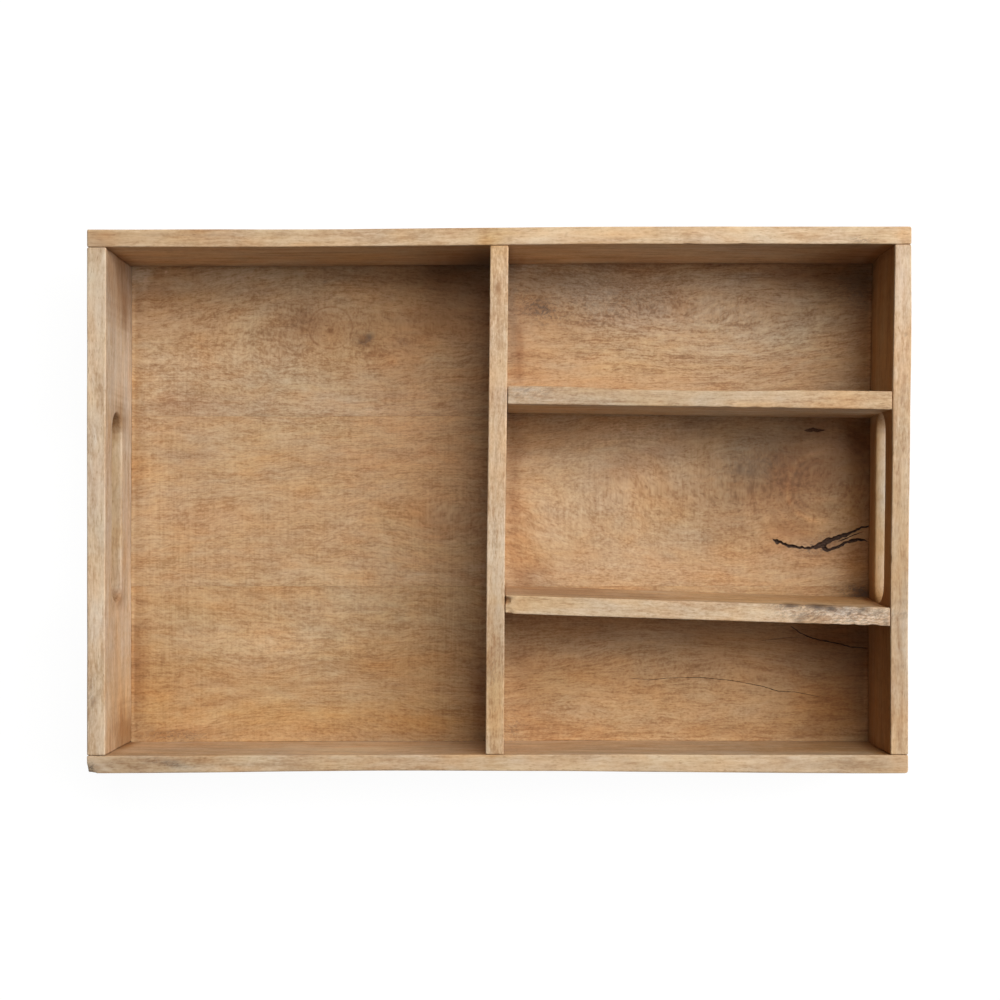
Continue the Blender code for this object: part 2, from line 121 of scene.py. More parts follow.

# Stains on the floor, with patches of painted shade and painted light among them: tint, X, Y, reach along X
# and Y, turn in degrees, strength
FLOOR_STAINS_AND_SHADE = (
    # Large compartment, from the back to the front
    ("shade", -215, 122, 40, 26, 0, 0.50),
    ("copper", -46, 34, 46, 64, 0, 0.80),
    ("copper", -112, -10, 112, 70, 0, 0.35),
    ("shade", -222, -112, 26, 44, 0, 0.50),
    ("dust", -181, 150, 52, 6, 0, 0.45),
    ("dust", -237, 149, 7, 9, 0, 1.30),
    ("mist", -237, 149, 7, 9, 0, 0.60),
    # Painted light, lifting the back wall's shadow on the floor
    ("pale", -164, 151, 24, 8, 0, 0.50),
    ("pale", -108, 143, 40, 7, 0, 0.45),
    ("brown", -226, 139, 14, 6, -15, 0.45),
    ("umber", -238.5, 134, 3, 9, 0, 0.50),
    ("black", -20, 156, 26, 5, 0, 0.55),
    ("orange", -81, 110, 46, 25, 0, 0.45),
    ("orange", -72, 96, 50, 34, 0, 0.40),
    ("shade", -98, 116, 62, 15, 0, 0.95),
    ("brown", -124, 123, 20, 8, 0, 0.30),
    ("brown", -50, 122, 18, 8, 0, 0.30),
    ("brown", -56, 88, 16, 10, 0, 0.35),
    ("brown", -204, 32, 18, 14, 0, 0.35),
    ("pale", -112, -20, 22, 8, 0, 0.35),
    ("mist", -118, -72, 44, 30, 0, 0.40),
    ("lavender", -190, -10, 56, 30, 0, 0.40),
    ("brown", -60, 151, 52, 12, 0, 0.35),
    ("pale", -43, 80, 18, 12, 0, 0.35),
    ("dust", -146.6, 123.5, 2.0, 1.0, 40, 1.30),
    ("dust", -149.2, 155.4, 2.2, 0.9, 0, 1.30),
    ("dust", -220.0, 153.4, 1.6, 0.9, -30, 1.30),
    ("black", -114.6, 147.0, 1.1, 1.1, 0, 0.55),
    ("orange", -36, 120, 36, 26, 0, 0.70),
    ("brown", -28, 124, 26, 20, 0, 0.30),
    ("brown", -131, 118, 13, 14, 10, 0.60),
    ("umber", -111, 114.4, 2.6, 2.1, 0, 1.25),
    ("orange", -109, 113.5, 15, 13, 0, 0.60),
    ("pale", -109, 112, 12, 8, 0, 0.30),
    ("umber", -88.5, 107.5, 6.5, 4.5, 15, 1.00),
    ("black", -85, 110, 2.6, 2.2, 30, 0.45),
    ("black", -90, 106.5, 2.4, 2.0, 0, 0.40),
    ("brown", -62, 106, 8, 4, 0, 0.45),
    ("pale", -190, 92, 40, 18, 0, 0.30),
    ("pale", -229, 76, 18, 10, 0, 0.35),
    ("brown", -206, 60, 20, 11, 0, 0.28),
    ("lavender", -111, 64, 92, 8, 0, 0.50),
    ("lavender", -212, 54, 30, 28, 0, 0.40),
    ("pale", -75, 61, 62, 3.5, 0, 0.40),
    ("red", -218, 68, 7, 6, 0, 0.50),
    ("red", -226, 42, 9, 6, 0, 0.40),
    ("red", -95, 31, 23, 7, 0, 0.40),
    ("lavender", -42, -2, 7, 20, 0, 0.50),
    ("orange", -151, -8, 40, 9, 0, 0.35),
    ("orange", -130, -12, 9, 3, 0, 0.30),
    ("brown", -46, -12, 10, 14, 40, 0.35),
    ("brown", -32, -15, 14, 10, 0, 0.35),
    ("pale", -22, 4, 9, 8, 0, 0.40),
    ("pale", -13, -54, 6, 32, 0, 0.60),
    ("pale", -138, -90, 42, 18, 0, 0.40),
    ("umber", -159, -62, 10, 0.9, -16, 0.55),
    ("umber", -22, -105.5, 13, 1.0, -22, 0.65),
    ("umber", -30, -100, 10, 0.9, -14, 0.40),
    ("brown", -12.5, -126, 6, 32, 0, 0.85),
    ("orange", -45, -146, 36, 8, 0, 0.90),
    ("brown", -70, -153.5, 40, 3.5, 0, 0.50),
    ("brown", -228, -152, 14, 5, 0, 0.45),
    ("red", -52, -38, 40, 5, 0, 0.25),
    ("pale", -24, -62, 18, 8, 0, 0.30),
    ("pale", -174, -91, 38, 13, 8, 0.45),
    ("lavender", -164, -97, 34, 14, 0, 0.40),
    ("pale", -131, -98, 30, 12, 0, 0.45),
    ("yellow", -230, -120, 18, 36, 0, 0.50),
    ("brown", -238, -112, 8, 34, 0, 0.80),
    ("umber", -221.8, -103.5, 1.3, 5, -3, 0.60),
    ("brown", -170, -128, 42, 1.8, 10, 0.45),
    ("brown", -118, -118, 34, 1.6, 7, 0.35),
    ("brown", -150, -104, 30, 1.5, -8, 0.25),
    ("orange", -48, -114, 42, 26, 0, 0.50),
    ("orange", -75, -107, 40, 6, 3, 0.40),
    ("brown", -186, -119, 22, 3, 4, 0.30),
    ("yellow", -131, -142, 112, 12, 0, 0.50),
    ("orange", -100, -142, 60, 9, 0, 0.30),
    ("brown", -205, -152, 34, 4.5, 0, 0.60),
    ("shade", -239, 10, 6, 165, 0, 0.95),
    ("brown", -241.5, -112, 4, 50, 0, 0.50),
    ("amber", -241, 70, 4, 60, 0, 0.40),
    # Rear compartment
    ("orange", 160, 155, 72, 3.5, 0, 0.70),
    ("umber", 188, 151, 18, 6, 0, 0.45),
    ("brown", 183, 126, 22, 9, 0, 0.45),
    ("shade", 100, 130, 16, 8, 0, 0.50),
    ("orange", 225, 135, 14, 12, 0, 0.85),
    ("mist", 178, 112, 36, 15, 0, 0.50),
    ("shade", 38, 112, 30, 20, 0, 0.35),
    ("umber", 8.5, 112, 4, 24, 0, 0.45),
    ("orange", 32, 78, 20, 9, 0, 0.45),
    ("pale", 78, 145, 34, 8, 0, 0.40),
    ("grey", 40, 147, 34, 11, 0, 0.40),
    ("shade", 122, 114, 132, 52, 0, 0.45),
    ("dusk", 26, 112, 32, 44, 0, 0.50),
    ("dust", 19, 154, 11, 4.5, 0, 0.60),
    ("umber", 28, 130, 8, 7, 0, 0.75),
    ("umber", 20, 126, 6, 6, 0, 0.40),
    ("brown", 13.5, 98, 3.5, 27, 0, 1.00),
    ("grey", 8, 124, 4, 40, 0, 0.80),
    ("orange", 22, 94, 14, 14, 0, 0.50),
    ("orange", 67, 80, 59, 6, 0, 0.40),
    ("orange", 108, 86, 84, 13, 0, 0.40),
    ("lavender", 84, 133, 62, 18, 0, 1.10),
    ("pale", 105, 144, 46, 9, 0, 0.50),
    ("yellow", 90, 96, 60, 12, 0, 0.30),
    ("brown", 193, 147, 22, 12, 0, 0.45),
    ("orange", 218, 118, 24, 36, 0, 0.45),
    ("pale", 218, 100, 22, 20, 0, 0.45),
    ("pale", 205, 125, 28, 18, 0, 0.25),
    ("grey", 236, 146, 12, 11, 0, 1.00),
    ("amber", 240, 108, 7, 44, 0, 0.90),
    # Middle compartment
    ("shade", 122, 0, 132, 58, 0, 0.30),
    ("dusk", 36, -6, 36, 50, 0, 0.40),
    ("dusk", 196, 26, 66, 32, 0, 1.00),
    ("pale", 73, 46, 52, 8, 0, 0.50),
    ("pale", 88, 50, 32, 9, 0, 0.90),
    ("brown", 70, 20, 26, 8, 10, 0.30),
    ("shade", 138, -2, 34, 26, 0, 0.80),
    ("shade", 36, 44, 34, 12, 0, 0.30),
    ("shade", 136, 42, 30, 12, 0, 0.50),
    ("mist", 80, -20, 46, 24, 0, 0.30),
    ("umber", 13, 36, 9, 10, 0, 0.50),
    ("umber", 22, -53.5, 18, 1.8, 0, 0.60),
    ("umber", 130, 52.5, 12, 3, 0, 0.50),
    ("brown", 182, 32, 14, 7, 0, 0.35),
    ("pale", 213, 46, 14, 5, 0, 0.50),
    ("pale", 226, 0, 8, 8, 0, 0.35),
    ("pale", 225, -42, 15, 12, 0, 0.50),
    ("umber", 9, 20, 6, 46, 0, 0.55),
    ("brown", 22, -44, 14, 9, 0, 0.45),
    ("brown", 186, -16, 10, 7, -40, 0.50),
    ("brown", 202, -20, 15, 4.5, -8, 0.45),
    ("red", 214, 28, 20, 20, 0, 0.75),
    ("red", 200, -32, 38, 12, 0, 0.50),
    ("orange", 182, 12, 22, 28, 0, 0.65),
    ("umber", 16, -49, 8, 7, 0, 0.55),
    ("pale", 60, 8, 55, 38, 0, 0.30),
    ("pale", 40, 0, 14, 24, 0, 0.35),
    ("grey", 70, -8, 20, 10, 0, 0.15),
    ("brown", 95, 30, 26, 7, 15, 0.35),
    ("lavender", 95, 36, 52, 18, 0, 0.60),
    ("dusk", 164, 20, 12, 7, 0, 0.50),
    ("dusk", 212, 8, 34, 26, 0, 0.45),
    ("black", 178.2, 25.2, 1.2, 1.0, 0, 0.50),
    ("umber", 196.6, 17.9, 2.5, 4.0, 0, 0.35),
    ("pale", 98, 18, 8, 13, -30, 0.40),
    ("pale", 84, 6, 7, 5, 0, 0.30),
    ("yellow", 112, -4, 26, 16, 0, 0.35),
    ("lavender", 92, 0, 60, 40, 0, 0.40),
    ("orange", 14, -10, 8, 40, 0, 0.40),
    ("brown", 11, -18, 4, 36, 0, 0.35),
    ("orange", 21, -38, 16, 12, 0, 0.30),
    ("brown", 27, -45, 8, 1.6, 0, 0.50),
    ("orange", 24, 42, 18, 10, 0, 0.30),
    ("grey", 166, 24, 18, 15, 0, 0.50),
    ("brown", 180, 14, 34, 24, -15, 0.55),
    ("orange", 202, -6, 44, 42, 0, 0.60),
    ("red", 194, 8, 20, 30, 0, 0.35),
    ("red", 205, 34, 22, 10, 0, 0.30),
    ("brown", 164, -14, 18, 14, 0, 0.20),
    ("pale", 213, 3, 9, 3.5, 0, 0.55),
    ("pale", 190, -37, 24, 4, 0, 0.40),
    ("pale", 120, -48, 60, 6, 0, 0.30),
    ("amber", 236, -42, 9, 14, 0, 0.80),
    ("amber", 236, 14, 11, 44, 0, 0.95),
    ("orange", 214, 10, 24, 34, 0, 0.35),
    ("pale", 222, -48, 10, 10, 0, 0.30),
    ("umber", 238.5, -60, 7, 4.5, -3, 1.00),
    ("black", 239, -59, 4.5, 2.5, -3, 0.45),
    ("brown", 206, 47.6, 7, 1.8, 0, 0.90),
    ("umber", 238, 42, 10, 14, 0, 0.60),
    # Front compartment
    ("shade", 122, -118, 134, 56, 0, 0.90),
    ("dusk", 28, -118, 30, 46, 0, 0.50),
    ("shade", 214, -118, 36, 46, 0, 0.45),
    ("grey", 78, -90, 56, 10, 0, 0.30),
    ("lavender", 78, -90, 60, 14, 0, 0.50),
    ("orange", 166, -92, 60, 12, 0, 0.70),
    ("shade", 60, -112, 60, 20, 0, 0.10),
    ("mist", 238, -90, 8, 12, 0, 0.50),
    ("brown", 200, -151.5, 14, 4.5, 0, 0.40),
    ("brown", 160, -103, 44, 14, -10, 0.35),
    ("yellow", 50, -115, 40, 14, 0, 0.30),
    ("brown", 16, -128, 14, 28, 0, 0.45),
    ("orange", 122, -152, 118, 7, 0, 0.50),
    ("orange", 218, -140, 26, 20, 0, 0.50),
    ("brown", 207, -144, 6, 9, 0, 0.40),
    ("pale", 60, -134, 30, 6, 0, 0.30),
    ("pale", 98, -87, 18, 9, 0, 0.80),
    ("umber", 13, -101, 10, 14, 0, 0.50),
    ("brown", 143, -150, 18, 5, 0, 0.40),
    ("umber", 223, -112, 12, 16, 0, 0.25),
    ("pale", 225, -87, 12, 6, 0, 0.50),
    ("amber", 222, -134, 18, 20, 0, 0.80),
    ("brown", 197, -106, 20, 14, 0, 0.40),
    ("amber", 212, -118, 26, 34, 0, 0.50),
    ("pale", 209, -108, 16, 10, 0, 0.30),
    ("pale", 236, -149, 9, 7, 0, 0.95),
    # Painted shade darkening the floor along the right wall's foot, dark crumbs beside the crack, light lines
    # of dust, and thin dark lines at the back wall's foot
    ("umber", 243, 115, 22, 60, 0, 0.55),
    ("umber", 243, 10, 22, 60, 0, 0.60),
    ("umber", 243, -115, 26, 60, 0, 0.70),
    ("umber", 214, -28.3, 9, 3.2, 14, 0.60),
    ("dust", -241.8, -107, 1.1, 52, 0, 1.50),
    ("dust", -241.8, 60, 0.9, 90, 0, 0.80),
    ("dust", 241.6, 110, 1.7, 44, 0, 1.60),
    ("dust", 241.8, -128, 1.8, 24, 0, 1.60),
    ("dust", 120, -54.2, 110, 0.7, 0, 0.70),
    ("dust", 122, -156.3, 118, 0.8, 0, 0.60),
    ("umber", -125, 156.8, 118, 1.0, 0, 0.50),
    ("umber", 150, 156.8, 90, 1.0, 0, 0.80),
    # Broad paler and darker areas
    ("mist", 95, -92, 34, 12, 0, 0.25),
    ("pale", -125, -62, 52, 24, 0, 0.30),
    ("shade", 93, 142, 20, 10, 0, 0.35),
)

# Stains on the outer boards and dividers, near their top edges, given in the same way
RIM_STAINS = (
    ("brown", -247, 163, 11, 7, 0, 0.40),
    ("orange", -216, 163, 44, 7, 0, 0.55),
    ("brown", -190, 164, 60, 5, 0, 0.12),
    ("orange", -119, 159, 15, 2, 0, 0.50),
    ("yellow", -5, 161, 11, 7, 0, 0.90),
    ("orange", -9, 160, 5, 4, 0, 0.60),
    ("pale", 124, 163, 92, 5, 0, 0.25),
    ("orange", 249, 163, 6, 5, 0, 0.50),
    ("umber", 222, 160.5, 7, 1.0, 0, 0.35),
    ("grey", -184, 165, 49, 1, 0, 0.40),
    ("grey", 80, 160, 60, 0.8, 0, 0.30),
    ("grey", -222, -164, 31, 5, 0, 0.30),
    ("umber", -230.5, -162.6, 11.5, 0.9, -22, 0.60),
    ("umber", -214, -161.2, 17, 0.9, -9, 0.50),
    ("umber", -240, -164, 7, 1.2, -35, 0.50),
    ("umber", -247, -166, 6, 1.6, -30, 0.50),
    ("grey", -202, -161.8, 10, 2.0, -10, 0.80),
    ("black", -253, -168, 3.2, 2.2, 0, 0.90),
    ("grey", -170, -163.5, 40, 1.5, 0, 0.40),
    ("orange", -10, -158, 30, 1.2, 0, 0.50),
    ("grey", 210, -163, 31, 4, 0, 0.25),
    ("umber", -249.5, -124, 2, 8, -25, 0.55),
    ("umber", -253.8, -110, 0.8, 50, 0, 0.60),
    ("lavender", -248, 40, 6, 130, 0, 0.30),
    ("grey", 251, -62, 1.6, 37, 0, 0.35),
    ("grey", 248, -3, 2.4, 2.4, 0, 0.30),
    ("black", 250.4, 101.7, 0.8, 0.8, 0, 0.60),
    ("pale", 248, 123, 6, 37, 0, 0.30),
    ("brown", 248, -104, 6, 50, 0, 0.30),
    ("orange", 248, -20, 6, 60, 0, 0.50),
    ("umber", -1, 132.5, 2.6, 3.4, 0, 0.60),
    ("brown", 0, 130, 2, 11, 0, 0.40),
    ("orange", -2, -124, 6, 32, 0, 0.55),
    ("yellow", -2, -124, 6, 32, 0, 0.40),
    ("umber", -6.5, -101, 1.4, 9, 0, 0.60),
    ("grey", -2, 10, 1.2, 60, 0, 0.30),
    ("dust", 24, 66, 20, 5, 0, 0.35),
    ("lavender", 24, 66, 26, 6, 0, 0.70),
    ("grey", 14, 68, 10, 0.9, -2, 0.60),
    ("orange", 173, 59, 37, 2, 0, 0.40),
    ("brown", 120, 62, 60, 3, 0, 0.12),
    ("umber", 74, 60.5, 24, 0.8, -1, 0.40),
    ("dust", 214, -71, 34, 8, -2, 0.65),
    ("lavender", 214, -71, 34, 8, -2, 0.60),
    ("black", 181, -65.2, 4.6, 1.7, -2, 0.95),
    ("black", 197.5, -65.9, 5.6, 2.0, -2, 1.08),
    ("black", 206, -66.8, 4.2, 1.9, -2, 1.00),
    ("grey", 215, -68.5, 7.0, 2.8, 0, 1.10),
    ("black", 226, -68.0, 4.0, 1.9, 0, 0.75),
    ("black", 236, -69.0, 3.0, 1.6, 0, 0.60),
    ("black", 186, -74.4, 3.4, 1.8, 0, 0.60),
    ("black", 240, -75, 1.4, 2.6, 0, 0.60),
    ("umber", 196, -72, 18, 3.4, -12, 0.45),
    ("umber", 5, -62, 2.2, 3, 0, 0.70),
    ("shade", -248, 142, 6, 40, 0, 0.65),
    ("pale", -248, -78, 6, 44, 0, 0.35),
    ("shade", -216, -163, 46, 7, 0, 0.80),
    ("brown", -200, -159.5, 30, 2.0, 0, 0.35),
    ("shade", -232, 163, 18, 6, 0, 0.50),
    ("shade", 248, -34, 6, 74, 0, 0.85),
    ("lavender", 248, 120, 6, 64, 0, 0.80),
    ("pale", 248, 84, 6, 46, 0, 0.25),
    ("pale", 0, 118, 7, 40, 0, 0.60),
    ("mist", 166, -70, 24, 6, -2, 0.30),
    ("shade", 216, -163, 34, 7, 0, 0.55),
    ("shade", -2, -92, 7, 64, 0, 1.15),
    ("amber", -5.5, -118, 3, 40, 0, 0.25),
    ("shade", 56, 64, 80, 8, 0, 0.40),
    ("amber", 30, -63, 40, 7, -2, 0.60),
    ("shade", 236, -163, 24, 7, 0, 0.30),
    ("shade", 248, -92, 6, 26, 0, 0.30),
    ("mist", 124, -67, 24, 7, -2, 0.35),
    ("shade", -248, -26, 6, 28, 0, 0.20),
    ("pale", -150, -163, 34, 6, 0, 0.40),
    ("pale", -2, -30, 7, 30, 0, 0.25),
    ("mist", 250, 50, 6, 34, 0, 0.20),
)

# Stains on the inner sides, with painted shade and painted light among them: tint, X, Y, Z, reach along X, Y
# and Z, strength
SIDE_STAINS_SHADE_AND_LIGHT = (
    ("brown", -242.5, 0, 40, 5, 400, 80, 0.40),
    # Painted shadow of the back wall on the left end board's inner face, at its back end
    ("brown", -242.5, 142, 44, 5, 30, 60, 1.00),
    ("umber", -242.5, 125, 27, 5, 15, 9, 0.85),
    ("mist", -242.5, 10, 20, 5, 150, 20, 0.60),
    ("mist", -242.5, 10, 64, 5, 110, 14, 0.50),
    ("umber", -242.5, -150, 18, 5, 18, 36, 1.05),
    ("amber", -242.5, -136, 20, 5, 44, 40, 0.65),
    ("shade", -249, -4, 33, 8, 66, 10, 0.60),
    ("amber", -249, -4, 33, 8, 66, 10, 0.65),
    ("umber", -248, -62, 40, 8, 6, 14, 0.90),
    # Painted shade in the back ends of both hand slots
    ("umber", -248, 53, 40, 9, 13, 20, 1.20),
    ("umber", 246, 50, 46, 7, 9, 18, 1.00),
    # Painted light on the right hand slot's lower face
    ("pale", 249, -14, 33, 7, 66, 7, 1.10),
    # Painted shadow of the back wall on the left end board's inner face
    ("shade", -242.5, 135, 40, 5, 24, 50, 0.50),
    # Painted shade on the right end board's inner face, which faces away from the lamps, over its whole
    # length and height
    ("shade", 242.5, -85, 40, 5, 30, 60, 0.90),
    ("amber", 242.5, 112, 40, 5, 56, 60, 0.50),
    ("amber", 242.5, 0, 30, 6, 500, 200, 0.85),
    ("amber", 242.5, 0, 68, 6, 500, 10, 0.80),
    ("brown", 242.5, 0, 30, 6, 500, 200, 0.60),
    ("shade", 242.5, 0, 20, 6, 500, 16, 0.60),
    ("brown", 242.5, -118, 30, 5, 50, 70, 0.45),
    ("umber", 242.5, 150, 30, 5, 22, 70, 0.55),
    # Painted light on the right hand slot's lower face
    ("mist", 249, -4, 33, 7, 66, 7, 0.80),
    ("umber", -18, 157, 26, 26, 4, 50, 0.80),
    ("black", -10, 157, 22, 14, 4, 50, 0.75),
    ("mist", -115, 157, 40, 64, 4, 60, 0.40),
    ("pale", -160, 157, 14, 26, 4, 20, 0.40),
    ("brown", 24, 157, 40, 26, 4, 60, 0.50),
    ("lavender", 140, 157, 40, 90, 4, 60, 1.00),
    ("mist", 110, 157, 40, 80, 4, 60, 0.30),
    # Painted shadow of the right wall on the back board's inner face, at its right end
    ("umber", 228, 157, 30, 24, 4, 60, 0.90),
    ("pale", -80, -157, 40, 56, 4, 60, 1.00),
    ("brown", -20, -157, 40, 34, 4, 60, 0.45),
    ("amber", 216, -157, 30, 44, 4, 60, 0.60),
    ("umber", 226, -157, 30, 30, 4, 60, 0.40),
    ("umber", -8, -135, 30, 4, 30, 40, 0.60),
    ("mist", 150, 60, 36, 120, 14, 60, 1.50),
    ("pale", 186, 60, 36, 44, 14, 60, 0.65),
    ("brown", 34, -56, 36, 60, 12, 50, 1.00),
    ("amber", 170, -61, 36, 80, 14, 60, 0.60),
    ("amber", 228, -65, 36, 34, 14, 60, 0.70),
    ("shade", 228, -65, 36, 30, 14, 60, 0.60),
    ("amber", 249, -22, 33, 9, 28, 12, 0.25),
    ("amber", -92, 157, 40, 28, 4, 60, 0.40),
    ("dust", 128, 57, 40, 44, 10, 60, 0.35),
)

# Patches of dark specks, where the wood is weathered: X, Y, reach along X and Y, turn, strength
FLOOR_SPECKS = (
    (-88, 108, 6, 4, 10, 0.5),
    (-62, 106, 7, 3, 0, 0.2),
    (28, 128, 12, 9, 0, 0.85),
    (15, 135, 10, 16, 0, 0.3),
    (75, 132, 50, 14, 0, 0.35),
    (150, 120, 50, 16, 0, 0.2),
    (-215, -153, 26, 4, 0, 0.5),
    (8, -150, 8, 12, 0, 0.4),
    (212, -28, 14, 6, 15, 0.7),
    (168, 28, 24, 16, 0, 0.25),
    (236, -58, 11, 5, 0, 0.8),
    (232, 140, 16, 16, 0, 0.4),
)
RIM_SPECKS = (
    (222, -71, 28, 8, -2, 0.66),
    (192, -70, 28, 6, -2, 0.55),
    (184, -65, 22, 2.5, -2, 0.8),
    (18, 66, 18, 5, -1, 0.35),
    (-205, -162, 16, 2, -10, 0.5),
    (-252, -166, 4, 4, 0, 0.8),
    (-251, -120, 3, 14, 0, 0.3),
    (-4, -105, 3, 14, 0, 0.25),
    (224, 160, 8, 2, 0, 0.5),
)

# Where the figure is livelier than usual, given in the same way
FLOOR_LIVELY = (
    (122, 118, 128, 46, 0, 0.80),
    (190, 4, 62, 46, 0, 0.50),
    (122, -118, 128, 46, 0, 0.25),
    (-150, 104, 110, 50, 0, 0.40),
    (-130, 72, 60, 26, 0, 0.40),
)
RIM_LIVELY = (
    (214, -71, 34, 9, -2, 0.90),
    (-215, -163, 42, 7, 0, 0.60),
    (-3, -90, 8, 60, 0, 0.30),
    (250, 20, 8, 120, 0, 0.25),
)

# Where the figure is short and fine, without long streaks, given in the same way
FLOOR_CALM = (
    (70, 0, 66, 50, 0, 0.62),
    (206, 8, 26, 20, 0, 0.30),
    (-150, 100, 90, 50, 0, 0.30),
    (60, 140, 80, 24, 0, 0.35),
)

# Where the planer left marks across the fibres, given in the same way
FLOOR_SAW_MARKS = (
    (-212, -50, 34, 130, 0, 1.0),
    (-34, -50, 26, 110, 0, 1.0),
    (105, 10, 70, 50, 0, 0.50),
    (-125, -30, 120, 140, 0, 0.4),
)

# Where the fibres spread round a knot: X, Y, reach along X and Y, and how far they spread
FLOOR_KNOTS = (
    (-111, 117.0, 70, 32, 0.72),
    (-40, -6, 22, 14, 0.5),
    (188, 121, 50, 18, 0.7),
    (100, 128, 40, 8, 0.4),
    (206, 4, 90, 50, 0.5),
    (60, -4, 50, 30, 0.4),
    (150, -110, 50, 12, 0.5),
)

# Where the rings close round a knot: X, Y, reach along X and Y, how clearly they show, and how far the
# middle of the knot is free of them
FLOOR_SWIRLS = (
    (-111, 114.4, 19, 17, 0.7, 0),
    (-62, 106, 9, 5, 0.2, 0),
    (205, 10, 70, 46, 0.7, 0.34),
)

# Single rings that stand out round the two great knots: X, Y, how far they show, from and to which turn in
# degrees they show beyond the innermost, and the inner radius within which they close
KNOT_RINGS = ((-111, 116.0, 25, 60, 250, 15.7), (211.8, 10.4, 62, 75, 290, 0))

# The rings of each great knot: radius, half width, and what the ring multiplies the wood by
RING_LINES = (
    ((9.2, 0.7, (0.93, 0.89, 0.85)), (14.4, 1.1, (0.70, 0.57, 0.46)), (17.6, 0.9, (1.10, 1.11, 1.12)),
     (19.8, 0.9, (0.86, 0.82, 0.79)), (22.6, 0.8, (0.90, 0.87, 0.85))),
    ((15.8, 1.6, (0.76, 0.71, 0.66)), (19.2, 1.3, (0.76, 0.71, 0.67)), (22.6, 2.2, (1.42, 1.46, 1.50)),
     (26.8, 2.0, (0.89, 0.86, 0.84)), (31.4, 1.6, (1.12, 1.12, 1.12)), (36.0, 2.0, (0.90, 0.87, 0.85)),
     (41.2, 2.5, (1.09, 1.10, 1.11)), (46.0, 2.0, (0.88, 0.84, 0.81)), (50.6, 2.0, (1.08, 1.09, 1.10)),
     (55.6, 1.4, (0.86, 0.83, 0.80))),
)

# Cracks in the floor: plank, what fills it, points along the path, width at each of them, and depth
CRACKS = (
    ("middle", "bark", ((180.2, -23.8), (182.8, -25.5), (188.7, -27.8), (194.7, -29.1), (200.6, -29.8),
                        (205.2, -29.8), (209.1, -28.8), (212.4, -27.1), (216.4, -24.8), (221.0, -23.2),
                        (225.6, -21.5), (230.9, -19.6), (236.8, -16.9), (243.5, -14.8)),
     (1.5, 2.7, 2.2, 1.8, 1.5, 2.0, 3.4, 4.4, 3.8, 2.9, 2.4, 1.8, 1.4, 1.1), 1.6),
    ("middle", "bark", ((211.8, -28.5), (213.7, -30.4), (217.0, -31.0), (221.6, -29.4), (226.3, -27.3),
                        (230.2, -25.3), (234.8, -24.2), (238.8, -24.4), (242.5, -25.4)),
     (2.6, 2.6, 2.2, 2.0, 2.2, 2.3, 2.0, 1.6, 1.0), 1.5),
    ("middle", "bark", ((222.5, -25.6), (228.0, -23.4), (233.5, -21.0), (239.4, -18.8)),
     (0.5, 0.8, 0.7, 0.4), 1.0),
    ("middle", "knot", ((199.5, 47.4), (203.0, 47.7), (206.5, 47.8), (210.0, 47.8), (213.5, 47.9)),
     (0.6, 2.0, 3.0, 2.0, 0.5), 0.5),
    ("front", "bark", ((192.0, -81.0), (198.5, -85.6), (206.5, -89.3), (223.7, -92.8), (231.6, -95.0),
                       (242.8, -95.8)),
     (0.5, 0.8, 0.7, 0.9, 0.7, 0.5), 1.1),
    ("front", "bark", ((86.0, -115.6), (99.0, -117.0), (113.0, -115.6), (132.7, -115.2), (152.5, -117.0),
                       (173.6, -121.0), (184.1, -124.3), (195.3, -124.9), (211.8, -128.2)),
     (0.15, 0.3, 0.3, 0.35, 0.35, 0.45, 0.5, 0.4, 0.15), 0.9),
    ("front", "bark", ((172.3, -90.9), (188.8, -88.9), (203.0, -88.9)), (0.15, 0.3, 0.15), 0.6),
)

# Nicks in the arrises: piece, X, Y, reach, and how far the edge is pushed along X, Y and Z
NICKS = (
    ("front_cross_divider", 4.5, -62, 3.0, (1.0, 0.3, -2.4)),
    ("front_cross_divider", 6.0, -69.5, 2.5, (0.8, 0.8, -1.0)),
    ("front_cross_divider", 232, -79.5, 4.0, (0, 0.9, -0.7)),
    ("front_cross_divider", 220, -79.0, 3.5, (0, 0.8, -0.6)),
    ("front_cross_divider", 209, -78.6, 3.0, (0, 0.7, -0.6)),
    ("front_cross_divider", 196, -78.1, 2.5, (0, 0.5, -0.4)),
    ("front_cross_divider", 224, -66.5, 4.0, (0, -0.9, -0.6)),
    ("front_cross_divider", 212, -66.0, 3.5, (0, -0.7, -0.6)),
    ("front_cross_divider", 200, -65.6, 3.0, (0, -0.6, -0.4)),
    ("front_cross_divider", 186, -65.1, 3.0, (0, -0.5, -0.4)),
    ("rear_cross_divider", 124, 57.0, 4.0, (0, 0.3, -0.3)),
    ("rear_cross_divider", 140, 56.8, 4.0, (0, 0.4, -0.3)),
    ("rear_cross_divider", 157, 56.6, 3.5, (0, 0.5, -0.4)),
    ("rear_cross_divider", 173, 56.3, 4.0, (0, 0.4, -0.3)),
    ("front_board", -253, -168, 4.0, (0.8, 0.8, -1.2)),
    ("right_end_board", 243.5, 30, 2.5, (0.4, 0, -0.5)),
    ("right_end_board", 243.0, -36, 3.0, (0.4, 0, -0.4)),
    ("left_end_board", -243.5, -70, 3.0, (-0.3, 0, -0.5)),
    ("back_board", 150, 157.5, 4.0, (0, 0.5, -0.4)),
    ("back_board", 116, 157.5, 3.0, (0, 0.4, -0.3)),
)

# Hollows in the dividers' upright faces: piece, X, Y, reach along X, and how far the face falls back
HOLLOWS = (
    ("rear_cross_divider", 116, 68, 58, -1.4),
)

# Radius of the tray's upright corners, by their side along X and Y
CORNER_RADII = {(-1, -1): 1.6, (-1, 1): 1.2, (1, -1): 2.6, (1, 1): 2.0}

# Radius in millimetres that the end of a great knot's row of rings stands for
RING_SPAN = 64

